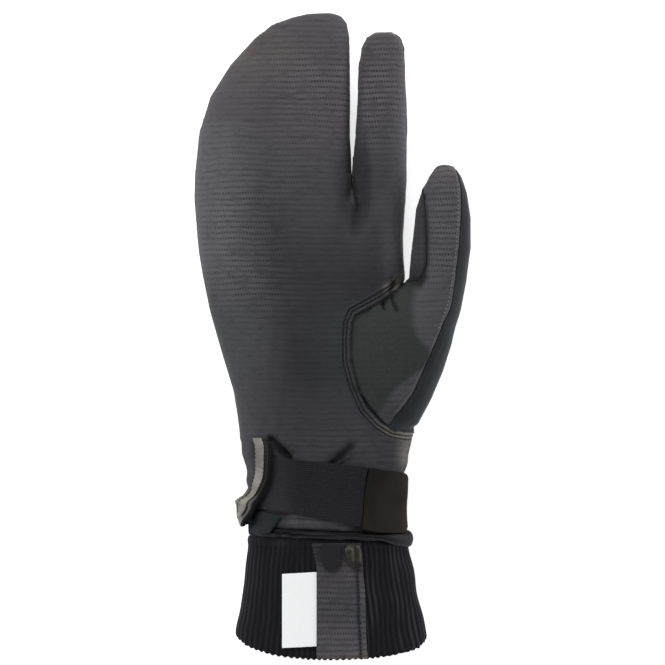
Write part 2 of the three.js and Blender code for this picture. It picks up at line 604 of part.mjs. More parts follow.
const onStrip = LAY_GAP + CUFF_STRIP.thick + LAY_GAP;
const cuffStrip = patchOnCuff(CUFF_STRIP, 6, 5, LAY_GAP);
const cuffLabel = patchOnCuff(LABEL, 4, 4, LAY_GAP, ({ x, y }, u) => ({ x, y: y + LABEL.lean * u }));
const tongue = patchOnCuff(TONGUE, 4, 6, onStrip, ({ x, y }, u, v) => {
  const middle = (TONGUE.left + TONGUE.right) / 2;
  const roundEnd = Math.sqrt(1 - (0.98 * Math.max(0, 2 * v - 1)) ** 2);
  return { x: middle + (x - middle) * roundEnd, y };
});
const tapeLoop = patchOnCuff(TAPE_LOOP, 2, 3, onStrip, ({ x, y }, u, v) => ({
  x: x + TAPE_LOOP.lean * v * (1 - u),
  y,
}));

// The mitten, piece by piece
const mitten = new THREE.Group();

function addPiece(name, geometry, fabric) {
  const material = new THREE.MeshStandardMaterial({ ...FABRIC[fabric], metalness: 0 });
  const mesh = new THREE.Mesh(geometry, material);
  mesh.name = name;
  mitten.add(mesh);
}

addPiece("palm_panel", geometryOf(palmPanel), "shell");
addPiece("back_panel", geometryOf(backPanel), "back");
addPiece("thumb_front_panel", geometryOf(thumbFront), "shell");
addPiece("thumb_side_strip", geometryOf(thumbSide), "shell");
addPiece("thumb_back_panel", geometryOf(thumbBack), "back");
addPiece("wrist_flap", flap, "shell");
addPiece("flap_binding", flapBinding, "binding");
addPiece("reflective_strip", reflectiveStrip, "reflective");
addPiece("wrist_gusset", wristGusset, "back");
addPiece("wrist_strap", strap, "strap");
addPiece("strap_tab", tab, "tab");
addPiece("hem_binding", hemBinding, "binding");
addPiece("knit_cuff", knitCuff, "knit");
addPiece("cuff_strip", cuffStrip, "shell");
addPiece("cuff_label", cuffLabel, "label");
addPiece("strip_tongue", tongue, "binding");
addPiece("strip_tape_loop", tapeLoop, "tape");

export default mitten;
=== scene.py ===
# A trigger mitten for the right hand, of grey winter softshell: three fingers share a pouch and
# the index finger has a sleeve of its own. It lies on its back with the palm up.
import math

import bpy
import bmesh
import numpy as np
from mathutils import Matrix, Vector
from mathutils.kdtree import KDTree


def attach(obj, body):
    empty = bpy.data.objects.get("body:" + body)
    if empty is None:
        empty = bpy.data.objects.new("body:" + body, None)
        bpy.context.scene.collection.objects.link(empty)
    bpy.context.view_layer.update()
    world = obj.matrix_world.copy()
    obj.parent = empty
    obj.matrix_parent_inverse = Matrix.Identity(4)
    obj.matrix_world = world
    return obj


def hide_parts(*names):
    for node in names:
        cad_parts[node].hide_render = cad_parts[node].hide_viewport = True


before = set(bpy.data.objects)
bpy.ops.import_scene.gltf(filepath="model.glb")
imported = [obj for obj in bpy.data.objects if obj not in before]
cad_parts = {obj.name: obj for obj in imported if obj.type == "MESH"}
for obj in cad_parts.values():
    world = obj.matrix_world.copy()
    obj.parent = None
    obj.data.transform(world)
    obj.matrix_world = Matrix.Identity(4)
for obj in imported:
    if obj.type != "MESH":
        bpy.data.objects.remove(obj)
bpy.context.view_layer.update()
MM = 0.001
scene = bpy.context.scene

# Camera: straight above the palm, as the mitten was photographed, with the fingers up.
CAMERA_HEIGHT = 1520 * MM
IN_FOCUS_HEIGHT = 20 * MM
PICTURE_WIDTH = 299.25 * MM
camera_data = bpy.data.cameras.new("camera")
camera_data.sensor_width = camera_data.sensor_height = 36
camera_data.lens = camera_data.sensor_width * (CAMERA_HEIGHT - IN_FOCUS_HEIGHT) / PICTURE_WIDTH
camera_data.clip_end = 20
camera = bpy.data.objects.new("camera", camera_data)
camera.location = (-0.2 * MM, 1.8 * MM, CAMERA_HEIGHT)
scene.collection.objects.link(camera)
scene.camera = camera
scene.view_settings.view_transform = "Standard"

# Floor and light: a white table, one wide soft light above the fingertips, a weaker one from
# the wrist's side, and an even white surround.
bpy.ops.mesh.primitive_plane_add(size=6)
floor = bpy.context.object
floor.name = "floor"
floor.data.materials.append(bpy.data.materials.new("white_table"))
floor.data.materials[0].use_nodes = True
table = floor.data.materials[0].node_tree.nodes["Principled BSDF"].inputs
for socket, value in (
    ("Base Color", (0.9, 0.9, 0.9, 1)), ("Roughness", 0.9), ("Specular IOR Level", 0.1),
    ("Emission Color", (1, 1, 1, 1)), ("Emission Strength", 0.65),
):
    table[socket].default_value = value

scene.world = bpy.data.worlds.new("studio")
scene.world.use_nodes = True
surround = scene.world.node_tree.nodes["Background"].inputs
surround["Color"].default_value = (1, 1, 1, 1)
surround["Strength"].default_value = 0.3
for name, place, size, watts in (
    ("tip_light", (-0.35, 1.3, 1.0), 1.0, 17),
    ("outer_light", (-1.25, 0.1, 0.75), 0.8, 7),
    ("thumb_light", (1.25, 0.3, 0.7), 0.8, 6),
    ("wrist_light", (0.3, -1.3, 1.1), 0.9, 5),
):
    bpy.ops.object.light_add(type="AREA", location=place)
    light = bpy.context.object
    light.name = name
    light.data.size = size
    light.data.energy = watts
    light.rotation_euler = (-Vector(place)).to_track_quat("-Z", "Y").to_euler()


# Palm: one panel of grey stretch softshell from the wrist round the pouch and the index
# sleeve, lined with fleece. Its edge is turned under and sewn down twice at the thumb's hole.
def pick(piece):
    """Makes a piece the only one selected, and the active one."""
    bpy.ops.object.select_all(action="DESELECT")
    piece.select_set(True)
    bpy.context.view_layer.objects.active = piece


def edit_mode(on):
    bpy.ops.object.mode_set(mode="EDIT" if on else "OBJECT")


def cut_like(node, name):
    """A new piece with the form of a CAD node: one merged mesh of four-sided faces."""
    piece = bpy.data.objects.new(name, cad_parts[node].data.copy())
    scene.collection.objects.link(piece)
    piece.data.materials.clear()
    pick(piece)
    edit_mode(True)
    bpy.ops.mesh.select_all(action="SELECT")
    bpy.ops.mesh.customdata_custom_splitnormals_clear()
    bpy.ops.mesh.remove_doubles(threshold=0.001 * MM)
    bpy.ops.mesh.tris_convert_to_quads(face_threshold=0.6, shape_threshold=0.9)
    edit_mode(False)
    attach(piece, "root")
    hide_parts(node)
    return piece


def read(parts, name, width, kind=float):
    found = np.empty(width * len(parts), kind)
    parts.foreach_get(name, found)
    return found.reshape(-1, width)


def points_of(piece):
    return read(piece.data.vertices, "co", 3) / MM


def normals_of(piece):
    return read(piece.data.vertex_normals, "vector", 3)


def edges_of(piece):
    return read(piece.data.edges, "vertices", 2, int)


def place_points(piece, points):
    piece.data.vertices.foreach_set("co", (points * MM).ravel())
    piece.data.update()


def rim_of(piece, sharp=math.radians(42)):
    """Points along the outer corners of a panel, where it is sewn to the next one."""
    mesh = bmesh.new()
    mesh.from_mesh(piece.data)
    found = []
    for edge in mesh.edges:
        if edge.is_convex and edge.calc_face_angle() > sharp:
            ends = [vertex.co / MM for vertex in edge.verts]
            steps = max(1, round(edge.calc_length() / MM))
            found += [ends[0].lerp(ends[1], i / steps) for i in range(steps + 1)]
    mesh.free()
    return found


def tree_of(places):
    """A tree that finds the nearest of some places."""
    tree = KDTree(len(places))
    for i, place in enumerate(places):
        tree.insert(place, i)
    tree.balance()
    return tree


def gap_to(points, places):
    """How far each point is from the nearest of some places."""
    tree = tree_of(places)
    return np.array([tree.find(point)[2] for point in points])


def even_mesh(piece, voxel):
    piece.data.remesh_voxel_size = voxel * MM
    pick(piece)
    bpy.ops.object.voxel_remesh()


def off_neighbours(points, edges):
    """The way from each point of a mesh to the middle of its neighbours."""
    count = np.bincount(edges.ravel(), minlength=len(points))
    (start, end), size = edges.T, len(points)
    middle = [
        (np.bincount(start, axis[end], size) + np.bincount(end, axis[start], size)) / count
        for axis in points.T
    ]
    return np.stack(middle, 1) - points


EASE_IN, EASE_OUT = 0.5, -0.52  # each step that shrinks the form is followed by one that swells it


def eased(points, edges, free, rounds):
    """Points of a mesh with its facets eased out where they are free, without shrinking."""
    free = np.reshape(free, (-1, 1))
    for step in range(2 * rounds):
        points = points + (EASE_IN, EASE_OUT)[step % 2] * free * off_neighbours(points, edges)
    return points


def ramp(value, low, high):
    """0 at low, 1 at high and beyond, smooth between them."""
    share = np.clip((value - low) / (high - low), 0, 1)
    return share * share * (3 - 2 * share)


def near(gap, width):
    """1 on a line, falling to nothing a little more than the width away from it."""
    return np.exp(-((gap / width) ** 2))


def spot(points, x, y, wide, high=None):
    """1 at a place, falling to nothing round it, seen from above."""
    right, up = (points[:, :2] - (x, y)).T
    return near(np.hypot(right / wide, up / (high or wide)), 1)


OUTLINE_KEPT = (0.3, 0.3, 1)  # of a swelling, the share that is let through in each direction
SEAM_ROLL = 0.4  # how far a sewn edge rolls out, which closes the seam
SEAM_WIDTH = 1.1
PRESSURE = 60
SWELL_STEPS = 20


def swell(piece, rim, voxel, cap):
    """How a padded panel fills out between its seams: a cloth simulation on an even copy of it.
    It gives the places of the copy's points, and how each one moves."""
    copy = bpy.data.objects.new(piece.name + "_swelling", piece.data.copy())
    scene.collection.objects.link(copy)
    even_mesh(copy, voxel)
    rest = points_of(copy)
    pinned = 1 - ramp(gap_to(rest, rim), 0.5, 3)
    group = copy.vertex_groups.new(name="sewn")
    for i in np.nonzero(pinned)[0]:
        group.add([int(i)], float(pinned[i]), "REPLACE")
    cloth = copy.modifiers.new("padding", "CLOTH")
    cloth.settings.quality = 4
    cloth.settings.mass = 0.02
    cloth.settings.use_pressure = True
    cloth.settings.uniform_pressure_force = PRESSURE
    cloth.settings.vertex_group_mass = "sewn"
    cloth.settings.effector_weights.gravity = 0
    for at in range(1, SWELL_STEPS + 1):
        scene.frame_set(at)
    swollen = copy.evaluated_get(bpy.context.evaluated_depsgraph_get())
    moved = points_of(swollen) - rest
    scene.frame_set(1)
    bpy.data.objects.remove(copy)
    length = np.linalg.norm(moved, axis=1, keepdims=True)
    return rest, moved * np.minimum(1, cap / np.maximum(length, 1e-6))


def carried(points, rest, moved):
    """The moves of a coarse mesh's points, carried over to a finer mesh's points."""
    tree = tree_of(rest)
    result = np.zeros_like(points)
    for i, point in enumerate(points):
        nearest = tree.find_n(point, 4)
        weights = [1 / (distance + 0.05) for _, _, distance in nearest]
        for (_, k, _), weight in zip(nearest, weights):
            result[i] += moved[k] * weight / sum(weights)
    return result


def line_gap(points, line):
    """Each point's distance, seen from above, from a line of [x, y] points."""
    best = np.full(len(points), 1e9)
    for (x0, y0), (x1, y1) in zip(line, line[1:]):
        run = np.array([x1 - x0, y1 - y0])
        away = points[:, :2] - (x0, y0)
        share = np.clip(away @ run / (run @ run), 0, 1)
        best = np.minimum(best, np.hypot(*(away - share[:, None] * run).T))
    return best


def along(points, line, width):
    """1 on a line of [x, y] points, falling to nothing beside it."""
    return near(line_gap(points, line), width)


def side_at(line, y):
    """Where a line of [x, y] points that runs down the mitten crosses some levels."""
    across, levels = np.array(sorted(line, key=lambda place: place[1])).T
    return np.interp(y, levels, across)


def note(piece, name, values):
    """Keeps a number for each point of a piece, or one for all, which its material reads."""
    held = piece.data.attributes.get(name) or piece.data.attributes.new(name, "FLOAT", "POINT")
    held.data.foreach_set("value", np.full(len(held.data), values, np.float32))


SLIT = [
    (7.6, 49), (8.0, 56), (8.4, 63), (8.6, 74), (8.95, 91), (9.4, 108), (9.65, 122), (10.5, 150),
]
SLIT_REACH = 5.0  # how far from the slit the cloth still gives way
SLIT_LEFT_OPEN = 0.5
SLIT_SPREAD = 1.0  # how far its sides are held apart in the mesh


def parted(points, amount):
    """Points beside the slit moved apart, or together where the amount is negative, so that the
    slit stays open in an even mesh."""
    aside = points[:, 0] - side_at(SLIT, points[:, 1])
    wide = amount * ramp(points[:, 1], 58, 70)
    if amount < 0:
        wide *= 1 - SLIT_LEFT_OPEN * ramp(points[:, 1], 74, 92)
    away = np.abs(aside)
    if amount > 0:
        moved = away + wide * np.exp(-away / SLIT_REACH)
    else:
        moved = away
        for _ in range(12):
            moved = np.maximum(away + wide * np.exp(-moved / SLIT_REACH), 0)
    result = points.copy()
    result[:, 0] += np.sign(aside) * (moved - away)
    return result


OUTLINE_MOVES = (  # a place on the hand's outline, its reach, and how far it moves
    (-18, 144, 9, 0, -0.6), (31.5, 42, 11, -0.6, 0), (34, -59, 4, 1.3, 0), (-42, -47, 4.5, -1.0, 0),
)


def panel(node, name, voxel, cap=0, rounds=50, slit=0, roll=SEAM_ROLL):
    """A panel with its facets eased out, and swollen between its seams by up to the cap."""
    piece = cut_like(node, name)
    rim = rim_of(piece)
    moves = swell(piece, rim, 2 * voxel, cap) if cap else None
    if slit:
        place_points(piece, parted(points_of(piece), slit))
    even_mesh(piece, voxel)
    points = points_of(piece)
    if slit:
        points = parted(points, -slit)
    gap = gap_to(points, rim)
    links = edges_of(piece)
    points = eased(points, links, 1, 7)
    if slit:
        low_end = along(points, SLIT, 4) * ramp(points[:, 1], 100, 88)
        points = eased(points, links, low_end, 30)
        points[:, 1] += 1.5 * spot(points, 8.7, 73, 5)
        for x, y, reach, *move in OUTLINE_MOVES:
            points[:, :2] += spot(points, x, y, reach)[:, None] * move
    points = eased(points, links, ramp(gap, 0.4, 3), rounds)
    if moves:
        inland = ramp(line_gap(points, SLIT), 2, 9)[:, None]
        points = points + carried(points, *moves) * inland * OUTLINE_KEPT
    place_points(piece, points)
    place_points(piece, points + normals_of(piece) * roll * near(gap, SEAM_WIDTH)[:, None])
    # A painted highlight along the sewn edges, where the rolled seams catch the light.
    note(piece, "edge", 1 - ramp(gap, 0.2, 1.0))
    pick(piece)
    bpy.ops.object.shade_smooth()
    return piece


def finer(piece, chosen):
    """Halves the faces of a mesh round the chosen points."""
    pick(piece)
    edit_mode(True)
    bpy.ops.mesh.select_mode(type="VERT")
    bpy.ops.mesh.select_all(action="DESELECT")
    edit_mode(False)
    piece.data.vertices.foreach_set("select", chosen)
    edit_mode(True)
    bpy.ops.mesh.select_mode(type="FACE")
    bpy.ops.mesh.subdivide(number_cuts=1)
    edit_mode(False)


THUMB_HOLE = [
    (34.5, 30), (33.0, 26), (30.6, 23), (27.4, 20), (22.0, 16.2), (14.0, 11.8), (9.8, 9.6),
    (8.2, 5.8), (7.6, -2), (7.9, -11), (10.7, -21.4), (15.0, -31.4), (21.0, -37.8),
    (26.6, -41.3), (33.0, -42.6), (40, -42.8),
]
PLEATS = (  # line on the palm, half width and height, negative for a valley
    ([(-27.6, -46.4), (-24.0, -49.8), (-19.4, -53.6)], 1.9, -2.6),
    ([(-20.0, -51.6), (-17.6, -53.8)], 0.9, 0.9),
    ([(8.0, -49.4), (4.4, -52.6), (0.2, -57.0)], 2.2, -2.1),
    ([(7.4, -53.2), (3.4, -55.6), (0.4, -57.8)], 0.8, 1.1),
    ([(22, -47.2), (28, -47.6), (34, -48.4)], 0.9, -0.5),
    ([(19, -50.4), (27, -50.6), (33, -51.6)], 0.9, -0.5),
    ([(21, -53.4), (27, -54.0), (33, -54.8)], 0.9, -0.6),
    ([(20, -56.4), (26, -57.2), (32, -58.0)], 0.9, -0.6),
    ([(8.6, 74), (9.2, 68), (9.9, 63), (10.6, 57)], 0.8, -0.7),
    ([(7.6, 72), (8.9, 60)], 0.7, 0.3),
    ([(12.8, 72), (12.0, 60)], 3.2, -0.4),
    ([(9.6, 58), (8.4, 51)], 2.0, -0.8),
)
EDGE_BAND = 4.0  # breadth of the palm's turned edge
# Where the pattern stands out, the cloth between its dashes also gets a painted sheen.
WORN_AND_SHEEN = (  # where the palm's pattern stands out: share, place, half width and half height
    (0.9, -6, 112, 28, 22), (0.9, 20, 108, 12, 26), (0.8, -46, 54, 17, 26), (0.7, -36, 24, 18, 17),
    (0.35, -20, 70, 18, 22), (0.3, 10, -46, 40, 10), (1.2, -8, -80.5, 20, 3),
)
STITCH_ROWS = (1.85, 3.4)  # distances of the two rows of stitches from the palm's turned edge


def waves(points, seed, size):
    """A smooth random height at each point, from a few crossing waves of about one size."""
    chance = np.random.default_rng(seed)
    height = np.zeros(len(points))
    for _ in range(7):
        run = chance.normal(size=3)
        run *= 2 * math.pi / (np.linalg.norm(run) * size * chance.uniform(0.7, 1.5))
        height += np.sin(points @ run + chance.uniform(0, 2 * math.pi))
    return height / 3


def uneven(piece, height, seed, size):
    """A piece's points, moved in and out a little, as soft cloth lies."""
    points = points_of(piece)
    return points + normals_of(piece) * (height * waves(points, seed, size))[:, None]


palm = panel("palm_panel", "palm_cloth", 1.1, cap=1.4, slit=SLIT_SPREAD, roll=0.1)
for line, reach in (
    (THUMB_HOLE, 6.5), (PLEATS[0][0], 5), (PLEATS[2][0], 6), (PLEATS[8][0], 4),
    (THUMB_HOLE, 4.6), (PLEATS[8][0], 2.2),
):
    finer(palm, (line_gap(points_of(palm), line) < reach) & (normals_of(palm)[:, 2] > 0.05))
points = points_of(palm)
hole_gap = line_gap(points, THUMB_HOLE)
loose = ramp(gap_to(points, rim_of(palm)), 0.3, 1.5) * (normals_of(palm)[:, 2] > 0)
place_points(palm, eased(points, edges_of(palm), loose, 6))
points, normals = points_of(palm), normals_of(palm)
x, y, z = points.T
nx, ny, nz = normals.T
outside = ramp(nz, 0.1, 0.35)
lift = 0.22 * waves(points, 3, 34) * ramp(y, 60, -20)
folds = sum(height * near(line_gap(points, line), width) for line, width, height in PLEATS)
band = 0.7 * ramp(hole_gap, EDGE_BAND + 0.9, EDGE_BAND)
band -= 0.8 * sum(near(hole_gap - row, 0.5) for row in STITCH_ROWS)
upper = y > -20
band *= np.where(upper, ramp(x, 29, 25), 1)
place_points(palm, points + normals * (outside * (lift + folds + band))[:, None])
side_seam = [place for place in rim_of(palm) if line_gap(np.array([place]), THUMB_HOLE)[0] > 6]
seam_gap = gap_to(points, side_seam)
# Painted shade: darker beside the side seams, on the slit's walls and in the crease below it, in the
# stitch rows' grooves and at the hole's edge, at the tuck by the web, under the strap, beside the
# tab's foot, and where the cloth turns away from the light.
slit_wall_shade = along(points, SLIT, 2.4) * ramp(y, 70, 76)
shade = 0.4 * near(seam_gap, 2.2) + 0.4 * near(seam_gap, 0.8) + 0.8 * slit_wall_shade
below_slit_shade = 1.4 * along(points, PLEATS[8][0], 0.75)
below_slit_shade += 0.45 * along(points, [(9.8, 58), (9.2, 47)], 2.6)
outward = ramp(-nx, 0.1, 0.5) * ramp(x, 0, -20)
turned = 0.5 * near(nz, 0.35) * outward + 0.3 * near(nz, 0.2)
tuck_shade = along(points, [(26.8, 23.6), (25.2, 20.4)], 1.5)
seam_ends = ramp(x, 27.5, 30) * upper
rows = 0.8 * sum(near(hole_gap - row, 0.42) for row in STITCH_ROWS) + 0.9 * near(hole_gap, 0.7)
rows *= 1 - 0.8 * seam_ends
# painted highlights on the ridges between the stitch rows, and along the web's rim
ridge_highlights = near(hole_gap - 1.1, 0.45) + near(hole_gap - 2.65, 0.35)
web_highlight = along(points, [(25.2, 21.6), (28.4, 22.8), (30.6, 24.8), (32.8, 28)], 2.2) * (1 - tuck_shade)
under_strap_shade = 0.5 * spot(points, -22, -79, 3.5, 2.5)
beside_tab_shade = spot(points, 11.5, -84.8, 5, 2.5)
dark = outside * (-folds / 2.2 + rows + tuck_shade + under_strap_shade + 0.7 * beside_tab_shade) + shade + turned
dark += below_slit_shade * (nz > -0.3)
note(palm, "painted_shade_and_dark_tone", np.clip(dark, 0, 1) * (1 - 0.9 * web_highlight))
note(palm, "edge", 0)

# Painted light and shade by place and facing, as a tone between the cloth's shaded and lit grey:
# darker towards the wrist and the palm's middle, beside the slit and on the outer edges that turn away
# from the light, and lighter near the fingertips and at the index finger's base.
down = ramp(y, 125, 10)
inward = ramp(x - 12 * ramp(y, 60, -10), -56, -26)
crown = ramp(x, -26, 4) * ramp(y, 25, 90)
beside_slit_shade = near(x - 13, 3) * ramp(y, 47, 60) * ramp(y, 98, 70)
lower = ramp(y, -5, -35)
finger = ramp(y, 55, 75)
rim_shade = 0.65 * ramp(y, 42, 12) + 0.35 * ramp(y, 88, 105)
tone_and_painted_shading = (
    0.22 + 0.1 * down + inward * (0.26 + 0.46 * down - 0.24 * lower) - 0.12 * crown
    - 0.15 * spot(points, -44, 64, 10, 26) + 0.8 * beside_slit_shade
    + (0.25 * ramp(x, 8, 16) - 0.3 * ramp(x, 22, 30)) * finger
    - 0.45 * ramp(x, 18, 27) * near(y - 40, 17) + 0.12 * ramp(y, 86, 104) * ramp(x, 0, -12)
    - 0.25 * near(x - 4.5, 4) * ramp(y, 75, 92) + rim_shade * near(nz, 0.75) * outward
)
# Painted highlights: a light ridge left of the slit, the wrist end of the turned edge, and the right
# edge at the wrist; the band above the hem is paler.
slit_ridge_highlight = along(points, [(7.6, 73), (9.0, 58.5)], 0.5)
wrist_end_highlight = along(points, [(24, -42.5), (29, -44.3), (37, -44.7)], 1.9)
above_hem = ramp(y, -77.5, -80) * ramp(x, -23, -15) * ramp(x, 12, 8)
above_hem *= 0.55 + 0.2 * waves(points, 8, 5)
low_right = ramp(x, 12, 27) * ~upper
pale_and_painted_highlight = (0.25 * wrist_end_highlight + 0.15 * above_hem + (0.07 + 0.5 * low_right) * ridge_highlights) * outside
right_rim_highlight = ramp(x, 27, 33) * ramp(y, -39, -45) * ramp(y, -62, -56) * ramp(nz, -0.3, 0.3)
note(palm, "pale_and_painted_highlight", pale_and_painted_highlight + 0.9 * web_highlight + 0.15 * slit_ridge_highlight + 0.5 * right_rim_highlight)
note(palm, "tone_and_painted_shading", tone_and_painted_shading - 0.2 * above_hem * outside)
note(palm, "worn_and_sheen", 0.12 + sum(share * spot(points, *place) for share, *place in WORN_AND_SHEEN))
beside_hole = near((hole_gap - 4) / 9, 1) * (x < 12) * ramp(y, -34, -22)
note(palm, "green", beside_hole * ramp(y, 20, 8) + 0.8 * spot(points, -45, -2, 12, 16))
note(palm, "violet", spot(points, -8, 100, 22, 16) + spot(points, 24, 118, 9))
note(palm, "warm", ramp(y, 85, 128) * (0.6 + 0.4 * ramp(x, 0, -30)))


def tint(code):
    """A colour from its sRGB hex code, as the shader takes it."""
    parts = [int(code[i : i + 2], 16) / 255 for i in (0, 2, 4)]
    linear = [p / 12.92 if p <= 0.04045 else ((p + 0.055) / 1.055) ** 2.4 for p in parts]
    return (*linear, 1)


def adds(operation, turned=False):
    """An operator that adds a Math node to the material."""

    def act(self, other):
        return self.finish.maths(operation, *((other, self) if turned else (self, other)))

    return act


class Number:
    """A socket in a sum: each operator adds the Math node that it stands for."""

    __add__ = __radd__ = adds("ADD")
    __mul__ = __rmul__ = adds("MULTIPLY")
    __sub__, __rsub__ = adds("SUBTRACT"), adds("SUBTRACT", turned=True)
    __truediv__, __pow__ = adds("DIVIDE"), adds("POWER")

    def __init__(self, finish, socket):
        self.finish, self.socket = finish, socket

    def part(self, low, high):
        """0 below low, 1 above high, smooth between them."""
        return self.finish.node(
            "MapRange",
            {"interpolation_type": "SMOOTHSTEP"},
            {"Value": self, "From Min": low, "From Max": high},
        ).out("Result")


class Node:
    """A node of the material, whose outputs take part in sums."""

    def __init__(self, finish, made):
        self.finish, self.made = finish, made

    def out(self, name=0):
        return Number(self.finish, self.made.outputs[name])


class Finish:
    """A material: its node tree, and the one shader at its end."""

    def __init__(self, name, rough, shine, sheen=0.0, sheen_rough=0.5):
        self.material = bpy.data.materials.new(name)
        self.material.use_nodes = True
        self.tree = self.material.node_tree
        self.shader = self.tree.nodes["Principled BSDF"]
        self.join({"Roughness": rough, "Specular IOR Level": shine}, self.shader)
        self.join({"Sheen Weight": sheen, "Sheen Roughness": sheen_rough}, self.shader)
        self.place = self.node("TexCoord").out("Object")
        self.facing = self.node("TexCoord").out("Normal")

    def join(self, inputs, made):
        """Sets or links the sockets of a node. Text is a colour's code."""
        for name, value in inputs.items():
            if isinstance(value, Number):
                self.tree.links.new(value.socket, made.inputs[name])
            else:
                made.inputs[name].default_value = tint(value) if isinstance(value, str) else value

    def node(self, kind, settings=None, inputs=None):
        made = self.tree.nodes.new("ShaderNode" + kind)
        for key, value in (settings or {}).items():
            setattr(made, key, value)
        self.join(inputs or {}, made)
        return Node(self, made)

    def maths(self, operation, *values):
        return self.node("Math", {"operation": operation}, dict(enumerate(values))).out()

    def axes(self, vector):
        parts = self.node("SeparateXYZ", None, {"Vector": vector})
        return [parts.out(axis) for axis in "XYZ"]

    def noted(self, name):
        return self.node("Attribute", {"attribute_name": name}).out("Fac")

    def grain(self, scale, detail=2.0, stretch=(1, 1, 1)):
        """Noise of a size given as cycles for each metre."""
        laid = self.node("Mapping", None, {"Vector": self.place, "Scale": stretch}).out()
        inputs = {"Vector": laid, "Scale": scale, "Detail": detail}
        return self.node("TexNoise", None, inputs).out("Fac")

    def mix(self, share, first, second):
        """A colour between two."""
        return self.node(
            "Mix", {"data_type": "RGBA", "clamp_factor": True}, {0: share, 6: first, 7: second}
        ).out(2)

    def colour(self, value, *layers):
        """The shader's colour, with other colours laid over it, each by its share."""
        for share, over in layers:
            value = self.mix(share, value, over)
        self.join({"Base Color": value}, self.shader)

    def bump(self, height, depth):
        raised = self.node("Bump", None, {"Height": height, "Distance": depth * MM})
        self.join({"Normal": raised.out()}, self.shader)

    def give(self, piece, slot):
        piece.data.materials.clear()
        piece.data.materials.append(self.material)


ROW_PITCH = 2.5
DASH_PITCH = 1.25


def dashes(finish):
    """Rows of small sunk dashes, as this softshell's face is knitted. They follow the cloth
    round its sides, where they are laid out by height."""
    x, y, z = [axis * (1 / MM) for axis in finish.axes(finish.place)]
    turns = [finish.maths("ABSOLUTE", axis) for axis in finish.axes(finish.facing)]
    weights = [turn ** 5 for turn in turns]
    total = weights[0] + weights[1] + weights[2]
    stray = finish.grain(240, 1.0) * 0.6 + finish.grain(45, 1.0) * 2.5
    mask = 0.0
    for weight, across, up in ((weights[0], z, y), (weights[1], x, z), (weights[2], x, y)):
        row = (up + stray) / ROW_PITCH
        line = 1 - finish.maths("PINGPONG", row, 0.5).part(0.12, 0.27)
        shifted = across / DASH_PITCH + finish.maths("FLOOR", row + 0.5) * 0.37
        dash = finish.maths("PINGPONG", shifted, 0.5).part(0.16, 0.36)
        mask = line * (dash * 0.8 + 0.2) * weight + mask
    return mask / total


def softshell(name, dark, light):
    """The grey face cloth: rows of dashes, a fine grain, a slow drift of tone, and light and shade
    painted in from the pieces' notes.
    """
    finish = Finish(name, 0.78, 0.2, sheen=0.08, sheen_rough=0.45)
    marks = dashes(finish)
    worn_and_sheen = finish.noted("worn_and_sheen") * (finish.grain(190, 2.0).part(0.3, 0.6) * 0.8 + 0.2)
    drift = finish.grain(16, 2.0).part(0.3, 0.7)
    fine = finish.grain(1500, 1.0, (1, 2.6, 1))
    streaks = finish.grain(420, 2.0, (0.25, 1, 1)).part(0.5, 0.75)
    finish.colour(
        # painted light and shade: a tone between the shaded and the lit grey, with a slow random drift
        finish.mix(1 - finish.noted("tone_and_painted_shading") + (drift - 0.5) * 0.14, dark, light),
        (finish.noted("warm") * (finish.grain(40, 1.0).part(0.3, 0.7) * 0.3 + 0.15), "63574e"),
        (finish.noted("green") * 0.4, "2b3a33"),
        (finish.noted("violet") * 0.2, "5e4a5b"),
        # a painted sheen between the dashes, where the pattern stands out
        ((1 - marks) * worn_and_sheen * 0.12, "8a8990"),
        # pale cloth and painted highlights
        (finish.noted("pale_and_painted_highlight"), "86837b"),
        (marks * (worn_and_sheen * 0.44 + 0.07) + streaks * 0.2 + fine.part(0.45, 0.75) * 0.22, "0e0e11"),
        # painted shade in creases, seams and recesses
        (finish.noted("painted_shade_and_dark_tone") * 0.88, "0b0b0d"),
        # a painted highlight along sewn edges
        (finish.noted("edge") * 0.3, "77757a"),
    )
    finish.bump(fine * 0.3 - marks * (finish.noted("worn_and_sheen") * 0.7 + 0.3), 0.18)
    return finish


shell = softshell("grey_softshell", "29292e", "59585e")
shell.give(palm, "shell")

# Back of the hand: one panel of plain dark softshell, sewn to the palm all round its edge, and
# flat where the mitten lies on it.
FLOOR_GAP = 0.02  # how far cloth stays above the floor
back = panel("back_panel", "back_cloth", 1.1, cap=1.4, slit=SLIT_SPREAD)
points = uneven(back, 0.2, 5, 30)
points[:, 2] = np.maximum(points[:, 2], FLOOR_GAP)
place_points(back, points)


def plain_shell(name, dark, light):
    """The dark cloth of the back: a fine twill, a slow drift of tone, painted shade and a painted
    highlight along its edges.
    """
    finish = Finish(name, 0.8, 0.2, sheen=0.08)
    drift = finish.grain(18, 2.0).part(0.3, 0.7)
    twill = finish.grain(1400, 1.0, (1, 1.8, 1))
    finish.colour(
        finish.mix(drift, dark, light),
        (twill.part(0.4, 0.7) * 0.35, "15181a"),
        (finish.noted("inner"), "2a2b34"),
        # painted shade beside seams and under folds, and the gusset's own darker tone
        (finish.noted("painted_shade_and_dark_tone") * 0.7, "0b0d0e"),
        # a painted highlight along sewn edges and the thumb's outer side
        (finish.noted("edge") * 0.2, "7a766e"),
    )
    finish.bump(twill, 0.12)
    return finish


plain_back = plain_shell("dark_softshell", "1d2529", "283238")
plain_back.give(back, "back")

